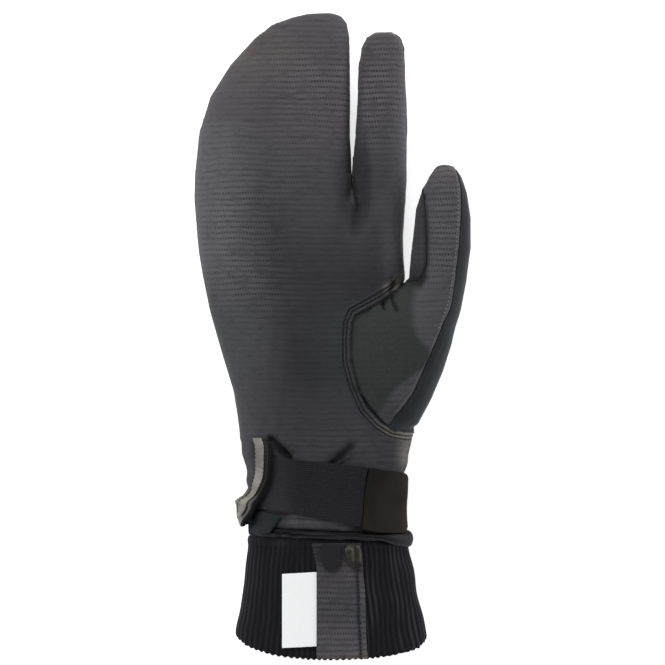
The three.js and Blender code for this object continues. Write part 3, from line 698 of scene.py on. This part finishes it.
# Thumb: a front panel whose foot fills the thumb's hole, a narrow strip beside the index
# finger, and a dark back panel; all sewn with their edges turned in.
THENAR_EDGE = [
    (28, 40), (31, 31), (36.4, 26), (37.0, 22), (35.8, 14), (36.1, 6.1), (37.3, 0.7), (40, -2.9),
    (43.6, -6), (43.6, -9.7), (41, -13.3), (36.4, -16.9), (31, -20.5), (26.5, -25), (23, -30.4),
    (19.4, -35.8),
]
THUMB_BACK_SEAM = [
    (54.9, 76.7), (56.5, 70.4), (57.1, 61.4), (56.9, 52.4), (56.2, 41.2), (54.9, 29.9),
    (53.1, 16.4), (49.5, 2.9), (43.6, -10.6), (36.9, -25.4), (30.2, -34.0),
]
THUMB_TIP_SEAM = [(45.3, 74.9), (48.6, 76.3), (52.7, 76.3), (54.9, 74.5)]
THUMB_SIDE_SEAM = [
    (40.6, 65.4), (41.3, 56.9), (41.7, 45.7), (41.7, 32.5), (40.3, 27.6), (38.4, 24.6),
]
TIP_MOVES = ((55.8, 77.6, 3.4, -0.3, -1.0), (59.0, 72.6, 4.0, -0.5, -0.5))  # read as OUTLINE_MOVES are


def seam_move(y):
    """How far the back's seam lies nearer to the palm than its straight cut."""
    return 0.4 + 1.6 * ramp(y, 14, 4)


def blunted(piece):
    """Rounds the thumb's tip off and lays its back's seam nearer to the palm."""
    points = points_of(piece)
    beside_seam = along(points, THUMB_BACK_SEAM, 5.5) * ramp(points[:, 2], 12, 19)
    points[:, 0] -= seam_move(points[:, 1]) * beside_seam
    for x, y, reach, *move in TIP_MOVES:
        points[:, :2] += spot(points, x, y, reach)[:, None] * move
    place_points(piece, eased(points, edges_of(piece), ramp(points[:, 1], 64, 70), 40))


thumb_back_seam = [(x - seam_move(y), y) for x, y in THUMB_BACK_SEAM]
GATHERS = (  # small folds where the thumb is set into its hole
    [(21.6, 16), (22.6, 12.4)], [(25.2, 20.4), (26.8, 15), (28.4, 11.6)], [(24.6, 19), (22.4, 15)],
)
thumb_front = panel("thumb_front_panel", "thumb_front_cloth", 0.8, cap=1.2)
blunted(thumb_front)
points, normals = points_of(thumb_front), normals_of(thumb_front)
x, y, z = points.T
outside = ramp(normals[:, 2], 0.1, 0.4)
gathers = sum(along(points, line, 0.7) for line in GATHERS)
sunk = 0.5 * ramp(line_gap(points, THUMB_HOLE), 4.5, 1.0) + 1.2 * gathers
place_points(thumb_front, points - normals * (outside * sunk)[:, None])
# A painted shade over the thumb's foot, in the hollow at the hole: there the dashes give way to a dark
# green-grey.
note(thumb_front, "thenar", 1 - ramp(x - side_at(THENAR_EDGE, y), -2.5, 2.0))
# Painted shade at the strip's seam and the tip's seam, under the strip's foot, in the gathers and
# along the hole.
seam_shade = 0.9 * along(points, THUMB_SIDE_SEAM, 1.1) * ramp(y, 70, 50)
seam_shade += 0.5 * along(points, THUMB_TIP_SEAM, 0.6)
foot_shade = along(points, [(34.4, 24.9), (38.4, 22.6), (40.6, 26.5)], 1.5)
dark = gathers + spot(points, 25.8, 19.6, 1.5) + seam_shade + 0.8 * foot_shade
dark += 0.8 * along(points, THUMB_HOLE, 0.9)
note(thumb_front, "painted_shade_and_dark_tone", np.clip(dark, 0, 1))
# a painted highlight along the rolled edge at the back's seam
note(thumb_front, "edge", 0.7 * ramp(line_gap(points, thumb_back_seam), 1.2, 0.3) * outside)
note(thumb_front, "warm", ramp(y, 66, 74))
note(thumb_front, "worn_and_sheen", 0.25 + 0.75 * ramp(y, 15, 35) * ramp(x, 38, 48))
note(thumb_front, "tone_and_painted_shading", 0.46 - 0.06 * ramp(y, -20, 50) + 0.2 * ramp(y, -24, -34))
note(thumb_front, "pale_and_painted_highlight", (0.1 * ramp(y, 70, 75) + 0.25 * ramp(y, 76, 77)) * outside)
thenar = softshell("thumb_softshell", "29292e", "55545a")
grey = Number(thenar, thenar.shader.inputs["Base Color"].links[0].from_socket)
# the painted shade of that hollow, with the creases darker still
thenar_shade = thenar.mix(thenar.grain(900, 2.0).part(0.3, 0.7), "272c2a", "2c3230")
thenar_shade = thenar.mix(thenar.noted("painted_shade_and_dark_tone") * 0.9, thenar_shade, "060707")
thenar.colour(grey, (thenar.noted("thenar"), thenar_shade))
thenar.give(thumb_front, "shell")

thumb_side = panel("thumb_side_strip", "thumb_side_cloth", 0.6, rounds=12)
points = points_of(thumb_side)
# Painted shade under the strip's foot and along its seam; the strip is darker all over, and towards
# its foot.
dark = along(points, [(34.6, 25.9), (38.2, 23.6)], 1.4) + 0.5 * ramp(points[:, 1], 36, 26)
dark += along(points, THUMB_SIDE_SEAM, 1.1)
note(thumb_side, "painted_shade_and_dark_tone", np.clip(dark, 0, 1))
for name, value in (("tone_and_painted_shading", 0.85), ("worn_and_sheen", 0.3), ("edge", 0)):
    note(thumb_side, name, value)
shell.give(thumb_side, "shell")

thumb_back = panel("thumb_back_panel", "thumb_back_cloth", 0.9, cap=1.2)
blunted(thumb_back)
points = points_of(thumb_back)
x, y, z = points.T
nx, ny, nz = normals_of(thumb_back).T
low_end = 1 + 0.9 * ramp(y, 15, -15)
shade = along(points, thumb_back_seam, 3.4) * low_end * (nz > 0)
shade += 0.3 * ramp(nx, 0.2, 0.8) + 0.4 * ramp(y, -8, -36)
note(thumb_back, "painted_shade_and_dark_tone", np.clip(0.75 * shade, 0, 1))
inner = along(points, thumb_back_seam, 5) + 0.6 * ramp(y, 0, 25)
note(thumb_back, "inner", 0.7 * np.clip(inner, 0, 1) * (nz > 0))
# a painted highlight on the thumb's outer side, which turns to the light
rim = near(nz - 0.15, 0.15) * (nx > 0.3) * ramp(y, 10, 50)
note(thumb_back, "edge", 1.4 * rim)
plain_back.give(thumb_back, "back")


# Stitches: two rows of dark thread through the palm's turned edge at the thumb's hole, and a row
# of light thread along the thumb's back seam.
def between(ends, share):
    """A number or a place between two others."""
    return np.array(ends[0]) * (1 - share) + np.array(ends[1]) * share


def resampled(line, step):
    """Points evenly along a line of [x, y] points whose corners are cut off twice."""
    line = np.array(line, float)
    for _ in range(2):
        cut = np.stack([between((line[:-1], line[1:]), share) for share in (0.25, 0.75)], 1)
        line = np.concatenate([line[:1], cut.reshape(-1, 2), line[-1:]])
    run = np.concatenate([[0], np.cumsum(np.hypot(*np.diff(line, axis=0).T))])
    at = np.linspace(0, run[-1], max(2, round(run[-1] / step)))
    return np.stack([np.interp(at, run, line[:, 0]), np.interp(at, run, line[:, 1])], 1)


def beside(line, distance):
    """A line moved sideways, to the left of the way it runs."""
    way = np.gradient(np.array(line), axis=0)
    way /= np.hypot(*way.T)[:, None]
    return line + distance * np.stack([-way[:, 1], way[:, 0]], 1)


def height_on(pieces, x, y):
    """The highest point of some pieces above a place, or nothing where they don't reach."""
    found = []
    for piece in pieces:
        hit, where, _, _ = piece.ray_cast(Vector((x * MM, y * MM, 1)), Vector((0, 0, -1)))
        if hit:
            found.append(where.z / MM)
    return max(found) if found else None


def laid_on(pieces, line, above):
    """A line of [x, y] points laid on some pieces, as points in space."""
    heights = [height_on(pieces, x, y) for x, y in line]
    return [(x, y, z + above) for (x, y), z in zip(line, heights) if z is not None]


def stitch_row(name, pieces, line, above, finish, slot, length, gap, thread, slant=0):
    """A row of stitches on some pieces: one stitch, repeated along a line and bent to it."""
    path = laid_on(pieces, line, above)
    way = bpy.data.curves.new(name + "_way", "CURVE")
    way.dimensions = "3D"
    spline = way.splines.new("POLY")
    spline.points.add(len(path) - 1)
    for point, place in zip(spline.points, path):
        point.co = (*(axis * MM for axis in place), 1)
    guide = bpy.data.objects.new(name + "_way", way)
    scene.collection.objects.link(guide)
    bpy.ops.mesh.primitive_uv_sphere_add(segments=8, ring_count=6, radius=0.5 * MM)
    row = bpy.context.object
    row.name = name
    turn = math.radians(slant)
    edit_mode(True)
    bpy.ops.transform.resize(value=(length, thread, thread))
    if slant:
        bpy.ops.transform.rotate(value=turn, orient_axis="Z", center_override=(0, 0, 0))
    edit_mode(False)
    repeat = row.modifiers.new("repeat", "ARRAY")
    repeat.fit_type = "FIT_CURVE"
    repeat.curve = guide
    repeat.use_relative_offset = False
    repeat.use_constant_offset = True
    repeat.constant_offset_displace = ((length * math.cos(turn) + gap) * MM, 0, 0)
    bend = row.modifiers.new("bend", "CURVE")
    bend.object = guide
    for modifier in ("repeat", "bend"):
        bpy.ops.object.modifier_apply(modifier=modifier)
    bpy.data.objects.remove(guide)
    bpy.ops.object.shade_smooth()
    finish.give(row, slot)
    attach(row, "root")
    return row


def spun(name, dark, light, depth=0):
    """Thread, mottled in two tones by its twist."""
    finish = Finish(name, 0.6, 0.3)
    twist = finish.grain(2500, 1.0)
    finish.colour(finish.mix(twist, dark, light))
    if depth:
        finish.bump(twist, depth)
    return finish


dark_thread = spun("dark_thread", "101012", "242426", depth=0.1)
light_thread = spun("light_thread", "5a595c", "858388")
hole = resampled(THUMB_HOLE, 0.8)
hole = hole[(hole[:, 0] < 26) | (hole[:, 1] < 0)]
for number, distance in enumerate(STITCH_ROWS):
    stitch_row(
        f"hole_stitches_{number}", [palm], beside(hole, -distance), 0.05,
        dark_thread, "binding", length=1.9, gap=0.35, thread=0.65,
    )
stitch_row(
    "thumb_edge_stitches", [thumb_front], beside(resampled(thumb_back_seam[:8], 0.8), -0.9), 0.02,
    light_thread, "shell", length=0.9, gap=0.9, thread=0.5,
)


# Wrist strap: black-grey elastic, sewn in under the flap, and its stiff tab of brown-black
# pile with round corners. Both lie flat across the wrist.
def rounded(piece, levels):
    round_off = piece.modifiers.new("round", "SUBSURF")
    round_off.levels = round_off.render_levels = levels
    pick(piece)
    for modifier in piece.modifiers.keys():
        bpy.ops.object.modifier_apply(modifier=modifier)
    bpy.ops.object.shade_smooth()


def soft_edged(node, name, bevel, levels=2):
    """A flat piece of cloth with round edges."""
    piece = cut_like(node, name)
    edge = piece.modifiers.new("edge", "BEVEL")
    edge.width = bevel * MM
    edge.segments = 2
    edge.limit_method = "ANGLE"
    edge.angle_limit = math.radians(50)
    rounded(piece, levels)
    return piece


strap = soft_edged("wrist_strap", "strap_elastic", 0.35)
# a painted light at the strap's left end, beside the binding
note(strap, "pale_and_painted_highlight", 0.2 * ramp(points_of(strap)[:, 0], -14, -26))
place_points(strap, uneven(strap, 0.15, 11, 16))
webbing = Finish("elastic", 0.85, 0.2)
x, y, z = [axis * (1 / MM) for axis in webbing.axes(webbing.place)]
threads = webbing.maths("PINGPONG", y + x * 0.09, 0.45) / 0.45
crossed = webbing.maths("PINGPONG", x, 0.35) / 0.35
fuzz = webbing.grain(900, 2.0)
webbing.colour(
    webbing.mix(threads * crossed * 0.6, "18171b", "29282c"),
    (webbing.grain(60, 1.0).part(0.4, 0.7) * 0.25, "232421"),
    (fuzz.part(0.5, 0.8) * 0.3, "333236"),
    (webbing.noted("pale_and_painted_highlight"), "48474b"),
)
webbing.bump(threads + crossed * 0.5 + fuzz * 0.4, 0.2)
webbing.give(strap, "strap")

tab = soft_edged("strap_tab", "tab_pile", 0.45)
points = uneven(tab, 0.15, 12, 14)
x, y, z = points.T
x += 0.6 * ramp(x, 25, 33) * ramp(y, -78, -68)
foot = ramp(y, -76, -84)
y -= (0.8 + 0.9 * ramp(x, 14, 20)) * foot
z += 0.6 * foot
place_points(tab, points)
pile = Finish("pile", 0.8, 0.12)
fuzz = pile.grain(1100, 3.0)
patch = pile.grain(60, 2.0).part(0.35, 0.65)
drift = pile.grain(95, 1.0).part(0.45, 0.7) * 0.4
pile.colour(pile.mix(patch * 0.6 + fuzz * 0.3, "161310", "27211c"), (drift, "171b14"))
pile.bump(fuzz, 0.25)
pile.give(tab, "tab")


# Flap: the back's edge, lapped over the strap's end. It is grey softshell with a black binding
# rolled over its front edge and a light reflective strip beside it.
def lapped(piece, wrinkle=0.0):
    """The soft flap's lie: its edge further over the strap, its top sunk to the palm's cloth."""
    points, normals = points_of(piece), normals_of(piece)
    x, y = points[:, 0].copy(), points[:, 1].copy()
    top = ramp(y, -53, -45.5)
    low = ramp(y, -64, -73)
    crumpled = wrinkle * np.maximum(waves(points * (1, 0.6, 1), 21, 6), -0.4)
    crumpled *= ramp(x, -31, -36) * (0.25 + 0.75 * ramp(y, -55, -66))
    points += normals * crumpled[:, None]
    lap = (1.3 + 0.7 * low) * ramp(y, -84, -79)
    points[:, 0] += lap * ramp(x, -40 - 2.6 * low, -33 - 5.4 * low)
    outer = 1 - ramp(x, -40, -35)
    points[:, 0] += (1.2 * ramp(y, -54, -47) + 1.4 * near(y + 68.5, 2.5)) * outer
    points[:, 0] -= 1.7 * near(y + 73.8, 2) * outer
    points[:, 2] -= 3.2 * top * ramp(points[:, 2], 10, 24)
    place_points(piece, points)


TAPE_STEP = 1.5


def sides_of(piece, inset):
    """The left and the right side of a long narrow piece, as [x, y] points down it."""
    points = points_of(piece)
    levels = np.arange(points[:, 1].max() - 1, points[:, 1].min() + 1, -TAPE_STEP)
    rows = [points[np.abs(points[:, 1] - level) < 0.6, 0] for level in levels]
    left = np.array([(row.min() + inset, level) for row, level in zip(rows, levels)])
    right = np.array([(row.max() - inset, level) for row, level in zip(rows, levels)])
    return left, right


flap = soft_edged("wrist_flap", "flap_cloth", 0.35)
lapped(flap, 0.8)
y = points_of(flap)[:, 1]
note(flap, "pale_and_painted_highlight", 0.75 * ramp(y, -68, -73))
note(flap, "tone_and_painted_shading", 0.75 * ramp(y, -72, -64))
# painted shade where the flap turns away from the light
turned = 0.45 * near(normals_of(flap)[:, 2], 0.4) * ramp(y, -70, -62)
shell.give(flap, "shell")

flap_binding = cut_like("flap_binding", "flap_roll")
rounded(flap_binding, 2)
lapped(flap_binding)
tape = Finish("black_binding", 0.8, 0.12)
fuzz = tape.grain(1500, 2.0)
# A painted highlight on the sides that face the outer light, with the pieces' own highlights, and
# painted shade in the folds.
lit = (0 - tape.axes(tape.facing)[0]).part(0.5, 0.95) * 0.3 + tape.noted("pale_and_painted_highlight")
painted_fold_shade = tape.noted("painted_shade_and_dark_tone") * 0.9
tape.colour(tape.mix(fuzz, "0b0b0d", "18181a"), (lit, "48474b"), (painted_fold_shade, "020202"))
tape.bump(fuzz, 0.15)
tape.give(flap_binding, "binding")

reflective = soft_edged("reflective_strip", "reflective_tape", 0.2)
left, right = sides_of(reflective, 0)
points = points_of(reflective)
x, y, z = points.T
x += (0.22 * (x - side_at((left + right) / 2, y)) + 0.15) * ramp(y, -73, -67)
place_points(reflective, points)
lapped(reflective)
sides = sides_of(reflective, 0.1)
points = points_of(flap)
# Painted shade along both sides of the reflective tape, and in random patches that stand for the
# wrinkles.
beside_tape_shade = near(np.minimum(*(line_gap(points, side) for side in sides)), 0.7)
wrinkle_shade = np.clip(0.4 * waves(points * (1, 0.4, 1), 22, 7), 0, 0.45)
note(flap, "painted_shade_and_dark_tone", np.clip(wrinkle_shade + turned + 0.8 * beside_tape_shade, 0, 1))
for name, line in zip(("outer", "inner"), sides):
    stitch_row(
        f"reflective_stitches_{name}", [flap, reflective], resampled(line, TAPE_STEP), 0,
        dark_thread, "binding", length=1.6, gap=0.3, thread=0.55,
    )
silver = Finish("reflective", 0.45, 0.4)
fuzz = silver.grain(700, 2.0)
patch = silver.grain(90, 2.0).part(0.3, 0.7)
# darker streaks across the tape: painted shade of its creases
painted_fold_shade = silver.grain(420, 1.0, (0.2, 1, 1)).part(0.55, 0.7) * 0.35
silver.colour(silver.mix(patch, "65625c", "88847d"), (painted_fold_shade, "3a3632"))
silver.bump(fuzz, 0.1)
silver.give(reflective, "reflective")

# Hem: a black binding rolled round the gauntlet's lower edge, folded where the strap pulls it
# and pushed out in a bulge at its right end.
HEM_FOLDS = [(-28, -86.6), (-24, -88.6), (-21, -86.8), (-18.5, -88.8), (-14, -88.0)]
hem = cut_like("hem_binding", "hem_roll")
even_mesh(hem, 0.6)
points = eased(points_of(hem), edges_of(hem), 1, 6)
x, y, z = points.T
rise = y - np.polyval(np.polyfit(x, y, 1), x)
bulge = ramp(x, 20, 33)
x += 2.5 * bulge
y += (rise * 1.3 - 1.2) * bulge
place_points(hem, points)
normals = normals_of(hem)
front = ramp(normals[:, 2], -0.3, 0.2)
upper_fold = near(rise - 1.5 + 0.3 * np.sin(x / 5.1), 0.45) * front
lower_fold = near(rise + 0.1 - 0.4 * np.sin(x / 6.3), 0.4) * front * (1 - bulge)
crossed = along(points, HEM_FOLDS, 0.7) * front
lift = 0.22 * waves(points, 31, 13) - 0.7 * (upper_fold + lower_fold) - 0.9 * crossed
points = points + normals * lift[:, None]
points[:, 2] = np.maximum(points[:, 2], FLOOR_GAP)
place_points(hem, points)
# Painted shade in the folds; the roll is paler all over and on its bulge, with a painted light on its
# downward side, where it shades itself.
note(hem, "painted_shade_and_dark_tone", np.clip(upper_fold + lower_fold + crossed, 0, 1))
note(hem, "pale_and_painted_highlight", 0.22 + 0.25 * bulge + 0.35 * ramp(-normals[:, 1], 0.4, 0.9))
pick(hem)
bpy.ops.object.shade_smooth()
tape.give(hem, "binding")


# Wrist gusset: the soft dark corner that shows below the strap and hangs over the hem.
def surface(pieces, low, high):
    """Reads the height of some pieces' upper side, evened out over a grid of 1 mm. Beyond the
    pieces it goes on level."""
    columns, rows = np.arange(low[0], high[0]), np.arange(low[1], high[1])
    grid = np.array([[height_on(pieces, x, y) for x in columns] for y in rows], float)
    for line in (*grid, *grid.T):
        known = np.flatnonzero(np.isfinite(line))
        if len(known):
            line[:] = np.interp(np.arange(len(line)), known, line[known])
    for axis in (0, 1):
        grid = (np.roll(grid, 1, axis) + grid + np.roll(grid, -1, axis)) / 3

    def height(points):
        x = np.clip(points[:, 0] - low[0], 1, len(columns) - 3)
        y = np.clip(points[:, 1] - low[1], 1, len(rows) - 3)
        i, j = x.astype(int), y.astype(int)
        x, y = x - i, y - j
        return between([between((grid[k, i], grid[k, i + 1]), x) for k in (j, j + 1)], y)

    return height


def laid_to(piece, moved, was, now=None):
    """Moves a flat piece sideways over what it lies on, and keeps its height above that."""
    points = points_of(piece)
    moved[:, 2] = points[:, 2] + (now or was)(moved) - was(points)
    place_points(piece, moved)


GUSSET_TOP, GUSSET_FOOT = -78.0, -85.3  # of the solid
GUSSET_SIDES = ((-34.2, -34.2), (-22.6, -26.0))  # of the solid, each at its top and foot
GUSSET_HUNG = (((-37.2, -77.0), (-22.6, -80.0)), ((-36.6, -88.4), (-26.2, -87.2)))  # its corners
gusset = soft_edged("wrist_gusset", "gusset_cloth", 0.3, 3)
points = points_of(gusset)
down = (GUSSET_TOP - points[:, 1]) / (GUSSET_TOP - GUSSET_FOOT)
left, right = (between(side, down) for side in GUSSET_SIDES)
across = ((points[:, 0] - left) / (right - left))[:, None]
down = down[:, None]
moved = points.copy()
moved[:, :2] = between([between(ends, across) for ends in GUSSET_HUNG], down)
moved[:, 1] -= 1.0 * near(across[:, 0] - 0.4, 0.4) * down[:, 0]
reach = ((-44, -96), (-14, -70))
laid_to(gusset, moved, surface([palm], *reach), surface([palm, hem], *reach))
points = uneven(gusset, 0.2, 33, 7)
x, y, z = points.T
z += 0.6 * ramp(y, -82, -85)
place_points(gusset, points)
# A darker tone of its own, with painted shade lower down, where it hangs over the hem, and along a
# line near its right side.
note(gusset, "painted_shade_and_dark_tone", 0.5 + 0.4 * ramp(y, -83, -88) + 0.2 * near(x + 27, 2))
note(gusset, "inner", 0.5 * ramp(y, -82, -87))
note(gusset, "edge", 0)
plain_back.give(gusset, "back")

# Cuff: a long black tube of rib knit, sewn in under the hem. Its ribs run down it, a little
# wavy, and stand out as scallops at its mouth.
CUFF_NECK, CUFF_MOUTH, CUFF_CUTS = -94, -142, -4
RIB_STRETCH = (1, 0.2, 1)  # a rib is followed further down the cuff than across it
cuff = cut_like("knit_cuff", "rib_cuff")
pick(cuff)
edit_mode(True)
for level in range(CUFF_NECK, CUFF_MOUTH, CUFF_CUTS):
    bpy.ops.mesh.select_all(action="SELECT")
    bpy.ops.mesh.bisect(plane_co=(0, level * MM, 0), plane_no=(0, 1, 0))
edit_mode(False)
rounded(cuff, 1)
points, normals = points_of(cuff), normals_of(cuff)
rib = -(off_neighbours(points, edges_of(cuff)) * normals).sum(1)
x, y, z = points.T
columns = np.arange(x.min() + 1, x.max() - 1)
mouth = np.array([y[np.abs(x - column) < 1.5].min() for column in columns])
above_mouth = y - np.interp(x, columns, mouth)
whole = np.nonzero((above_mouth > 5) & (above_mouth < 12))[0]
tree = tree_of(points[whole] * RIB_STRETCH)
for i in np.nonzero(above_mouth < 5)[0]:
    rib[i] = rib[whole[tree.find(points[i] * RIB_STRETCH)[1]]]
rib = np.clip(rib / np.percentile(np.abs(rib), 80), -1, 1)
# How far each point stands out of the knit: it shapes the ribs, and the material paints rib tops
# lighter than their grooves, as light and shade.
note(cuff, "rib", rib)
points = points + normals * (0.15 * np.minimum(rib, 0))[:, None]
x, y, z = points.T
# the painted light on the rib tops grows towards the right
note(cuff, "lit", 0.3 + 0.7 * ramp(x, 5, 20))
x += (0.3 + 0.25 * ramp(x, 10, 25)) * waves(points * (1, 1, 0.3), 41, 20)
shoulder = ramp(y, -95, -90)
x *= 1 + 0.035 * shoulder
y += 1.3 * shoulder - 0.35 * rib * ramp(above_mouth, 3, 0.5)
x -= 1.2 * near(y + 131, 7) * ramp(x, -28, -42)
drop = 0.5 * ramp(x, 5, 36) - 0.5 * ramp(x, -24, -36)
y -= drop * ramp(y, -112, -135)
points[:, 2] = np.maximum(z, FLOOR_GAP)
place_points(cuff, points)
# A painted light on the cuff's sides, which turn away, and just below the hem, where the hem's shade
# falls.
painted_light_below_hem = 0.45 * ramp(y, -93, -90.5)
note(cuff, "rim", np.maximum(near(normals_of(cuff)[:, 2], 0.4), painted_light_below_hem))
knit = Finish("black_rib_knit", 0.9, 0.1)
streaks = knit.grain(1100, 2.0, (1, 0.12, 1))
fuzz = knit.grain(1600, 2.0)
# painted light on the rib tops and on the sides
painted_rib_light = knit.noted("rib").part(-0.5, 1.0)
patch = knit.grain(190, 1.0, (1, 0.1, 1)).part(0.35, 0.65)
patch = painted_rib_light * (patch * 0.8 + 0.2) * knit.noted("lit")
knit.colour(
    knit.mix(patch + streaks * 0.2, "0e0e10", "302f35"),
    (fuzz.part(0.45, 0.8) * 0.2, "2c2b30"),
    (knit.noted("rim") * 0.35, "55545a"),
)
knit.bump(streaks * 0.6 + fuzz * 0.6, 0.25)
knit.give(cuff, "knit")

# On the cuff: a strip of the grey softshell with an overlocked right side and a serged top, a
# plain white woven label at its left, and a dark tongue and a beige tape loop on its top.
STRIP_CUT = (-7.1, 14.3)  # the solid's left and right side
STRIP_LEFT = [(-7.1, -103), (-7.9, -97), (-9.0, -93.5)]
STRIP_RIGHT = [
    (15.0, -143), (14.4, -136), (14.0, -125), (13.8, -114), (12.9, -105.6), (12.7, -97), (12.0, -92),
]
STRIP_SEAM = [(12.3, -142), (12.1, -136), (11.4, -125), (11.2, -114), (10.8, -106.2)]
LOOP_LEFT = [(5.6, -102.4), (4.6, -100), (4.5, -96.5), (4.8, -94.3), (6, -93)]
LOOP_RIGHT = [(12.3, -102.4), (12.6, -100), (12.7, -96.5), (12.3, -94.3), (11.8, -93)]
LOOP_LIT = [(4.8, -96.5), (5.4, -94.8), (7.2, -93.9), (8.6, -94.4), (9.3, -96.5), (9.5, -99)]
LOOP_LIT_RIGHT = [(10.4, -93.4), (11.9, -93.6), (12.3, -96), (12.5, -100)]
on_cuff = surface([cuff], (-34, -150), (26, -84))


def pulled_up(moved):
    """The strip's top, with what is sewn on it, pulled up to the hem."""
    moved[:, 1] += 2.5 * ramp(moved[:, 1], -106, -94.6)
    return moved


strip = soft_edged("cuff_strip", "strip_cloth", 0.3)
moved = pulled_up(points_of(strip))
left, right = side_at(STRIP_LEFT, moved[:, 1]), side_at(STRIP_RIGHT, moved[:, 1])
share = (moved[:, 0] - STRIP_CUT[0]) / (STRIP_CUT[1] - STRIP_CUT[0])
moved[:, 0] = left + share * (right - left)
laid_to(strip, moved, on_cuff)
points = points_of(strip)
x, y, z = points.T
# The strip is darker higher up, with painted shade just below the hem, along its seam and below the
# loop.
note(strip, "tone_and_painted_shading", 0.54 + 0.22 * ramp(y, -140, -122) + 0.25 * near(y + 95, 6))
note(strip, "worn_and_sheen", 0.8 - 0.6 * near(y + 95, 8))
shade_below_loop = along(points, [(9.8, -102.8), (11.4, -104.6)], 1.0)
dark = 0.75 * along(points, STRIP_SEAM, 0.6) + 0.8 * shade_below_loop + 0.4 * near(y + 94, 6)
note(strip, "painted_shade_and_dark_tone", np.clip(dark, 0, 1))
note(strip, "pale_and_painted_highlight", 0.08 * ramp(x - side_at(STRIP_SEAM, y), 0.6, 1.2) * (y < -105))
for name, share, seed, size in (("violet", 0.8, 61, 16), ("green", 0.5, 62, 14)):
    note(strip, name, share * waves(points * (0.5, 1, 1), seed, size))
note(strip, "warm", 1.2 * ramp(y, -138, -141))
shell.give(strip, "shell")

label = soft_edged("cuff_label", "bare_label", 0.15)
moved = points_of(label)
lower_right = ramp(moved[:, 1], -106, -138) * ramp(moved[:, 0], -22, -8)
moved[:, 0] += 0.8 + 1.0 * lower_right
moved[:, 2] += 0.12 * waves(moved, 51, 15)
laid_to(label, moved, on_cuff)
white = Finish("white_label", 0.6, 0.3)
fuzz = white.grain(2200, 1.0, (1, 2, 1))
white.colour(white.mix(fuzz, "e4e6e7", "f4f5f5"))
white.bump(fuzz, 0.06)
white.give(label, "label")

TONGUE_SIDES = (-4.9, 3.6)
tongue = soft_edged("strip_tongue", "tongue_tape", 0.25)
moved = pulled_up(points_of(tongue))
x, y, z = moved.T
moved[:, 0] = np.interp(x, (x.min(), x.max()), TONGUE_SIDES)
foot, top = y.min(), y.max()
moved[:, 1] = np.interp(moved[:, 1], (foot, foot + 4.5, top), (-103.9, -100.4, top))
laid_to(tongue, moved, on_cuff)
note(tongue, "pale_and_painted_highlight", 0.14)
tape.give(tongue, "binding")

loop = soft_edged("strip_tape_loop", "loop_tape", 0.2, 3)
moved = pulled_up(points_of(loop))
x, y, z = moved.T
left, right = side_at(LOOP_LEFT, y), side_at(LOOP_RIGHT, y)
moved[:, 0] = left + np.interp(x, (x.min(), x.max()), (0, 1)) * (right - left)
valley = along(moved, [(9.9, -93), (9.9, -99), (10.3, -103)], 0.5)
slit = along(moved, [(7.3, -95.8), (7.3, -99)], 0.35)
z += 0.5 * near(x - 7.2, 2) * ramp(y, -102, -99) - 0.5 * valley
laid_to(loop, moved, on_cuff)
# Painted shade in the loop's valley, slit and lower end, and painted highlights along its lit folds.
lower_end_shade = along(moved, [(10.6, -101), (12.4, -102.4)], 1.0)
note(loop, "painted_shade_and_dark_tone", np.clip(0.9 * valley + 0.7 * slit + 0.7 * lower_end_shade, 0, 1))
lit = along(moved, LOOP_LIT, 0.6) + along(moved, LOOP_LIT_RIGHT, 0.5)
note(loop, "pale_and_painted_highlight", 0.45 * np.clip(lit, 0, 1) * (1 - valley))
beige = Finish("beige_tape", 0.75, 0.25)
fuzz = beige.grain(1200, 2.0, (1, 0.3, 1))
patch = beige.grain(300, 2.0).part(0.4, 0.6)
beige.colour(
    beige.mix(patch * 0.7 + fuzz.part(0.4, 0.7) * 0.3, "1d1c19", "31302a"),
    # painted highlights on the loop's folds, and the pale thread
    (beige.noted("pale_and_painted_highlight") * (fuzz * 0.6 + 0.6), "6c685f"),
    # painted shade in the loop's folds
    (beige.noted("painted_shade_and_dark_tone") * 0.9, "0d0a08"),
)
beige.bump(fuzz, 0.15)
beige.give(loop, "tape")

stitch_row(
    "strip_seam_stitches", [strip], resampled(STRIP_SEAM, 0.8), 0.2,
    dark_thread, "binding", length=1.15, gap=0.55, thread=1.2,
)
overlock = resampled([(x - 0.6, y) for x, y in STRIP_RIGHT[:5]], 0.8)
row = stitch_row(
    "strip_overlock", [strip, cuff], overlock, -0.05,
    beige, "tape", length=1.6, gap=0.6, thread=0.35, slant=60,
)
note(row, "pale_and_painted_highlight", 0.3)
SERGING = {
    "upper_left": [(-9.0, -93.0), (-5.4, -92.6)], "lower_left": [(-8.8, -95.0), (-5.6, -94.6)],
    "left_side": [(-8.4, -96), (-7.6, -99), (-7.0, -102.5)], "right": [(8.8, -92.8), (12.2, -93.0)],
    "foot": [(-6.6, -141.2), (14.0, -141.4)],
}
for name, ends in SERGING.items():
    row = stitch_row(
        f"strip_serging_{name}", [strip], resampled(ends, 0.5), 0,
        beige, "tape", length=0.9, gap=0.75, thread=0.5,
    )
    note(row, "pale_and_painted_highlight", 0.35)
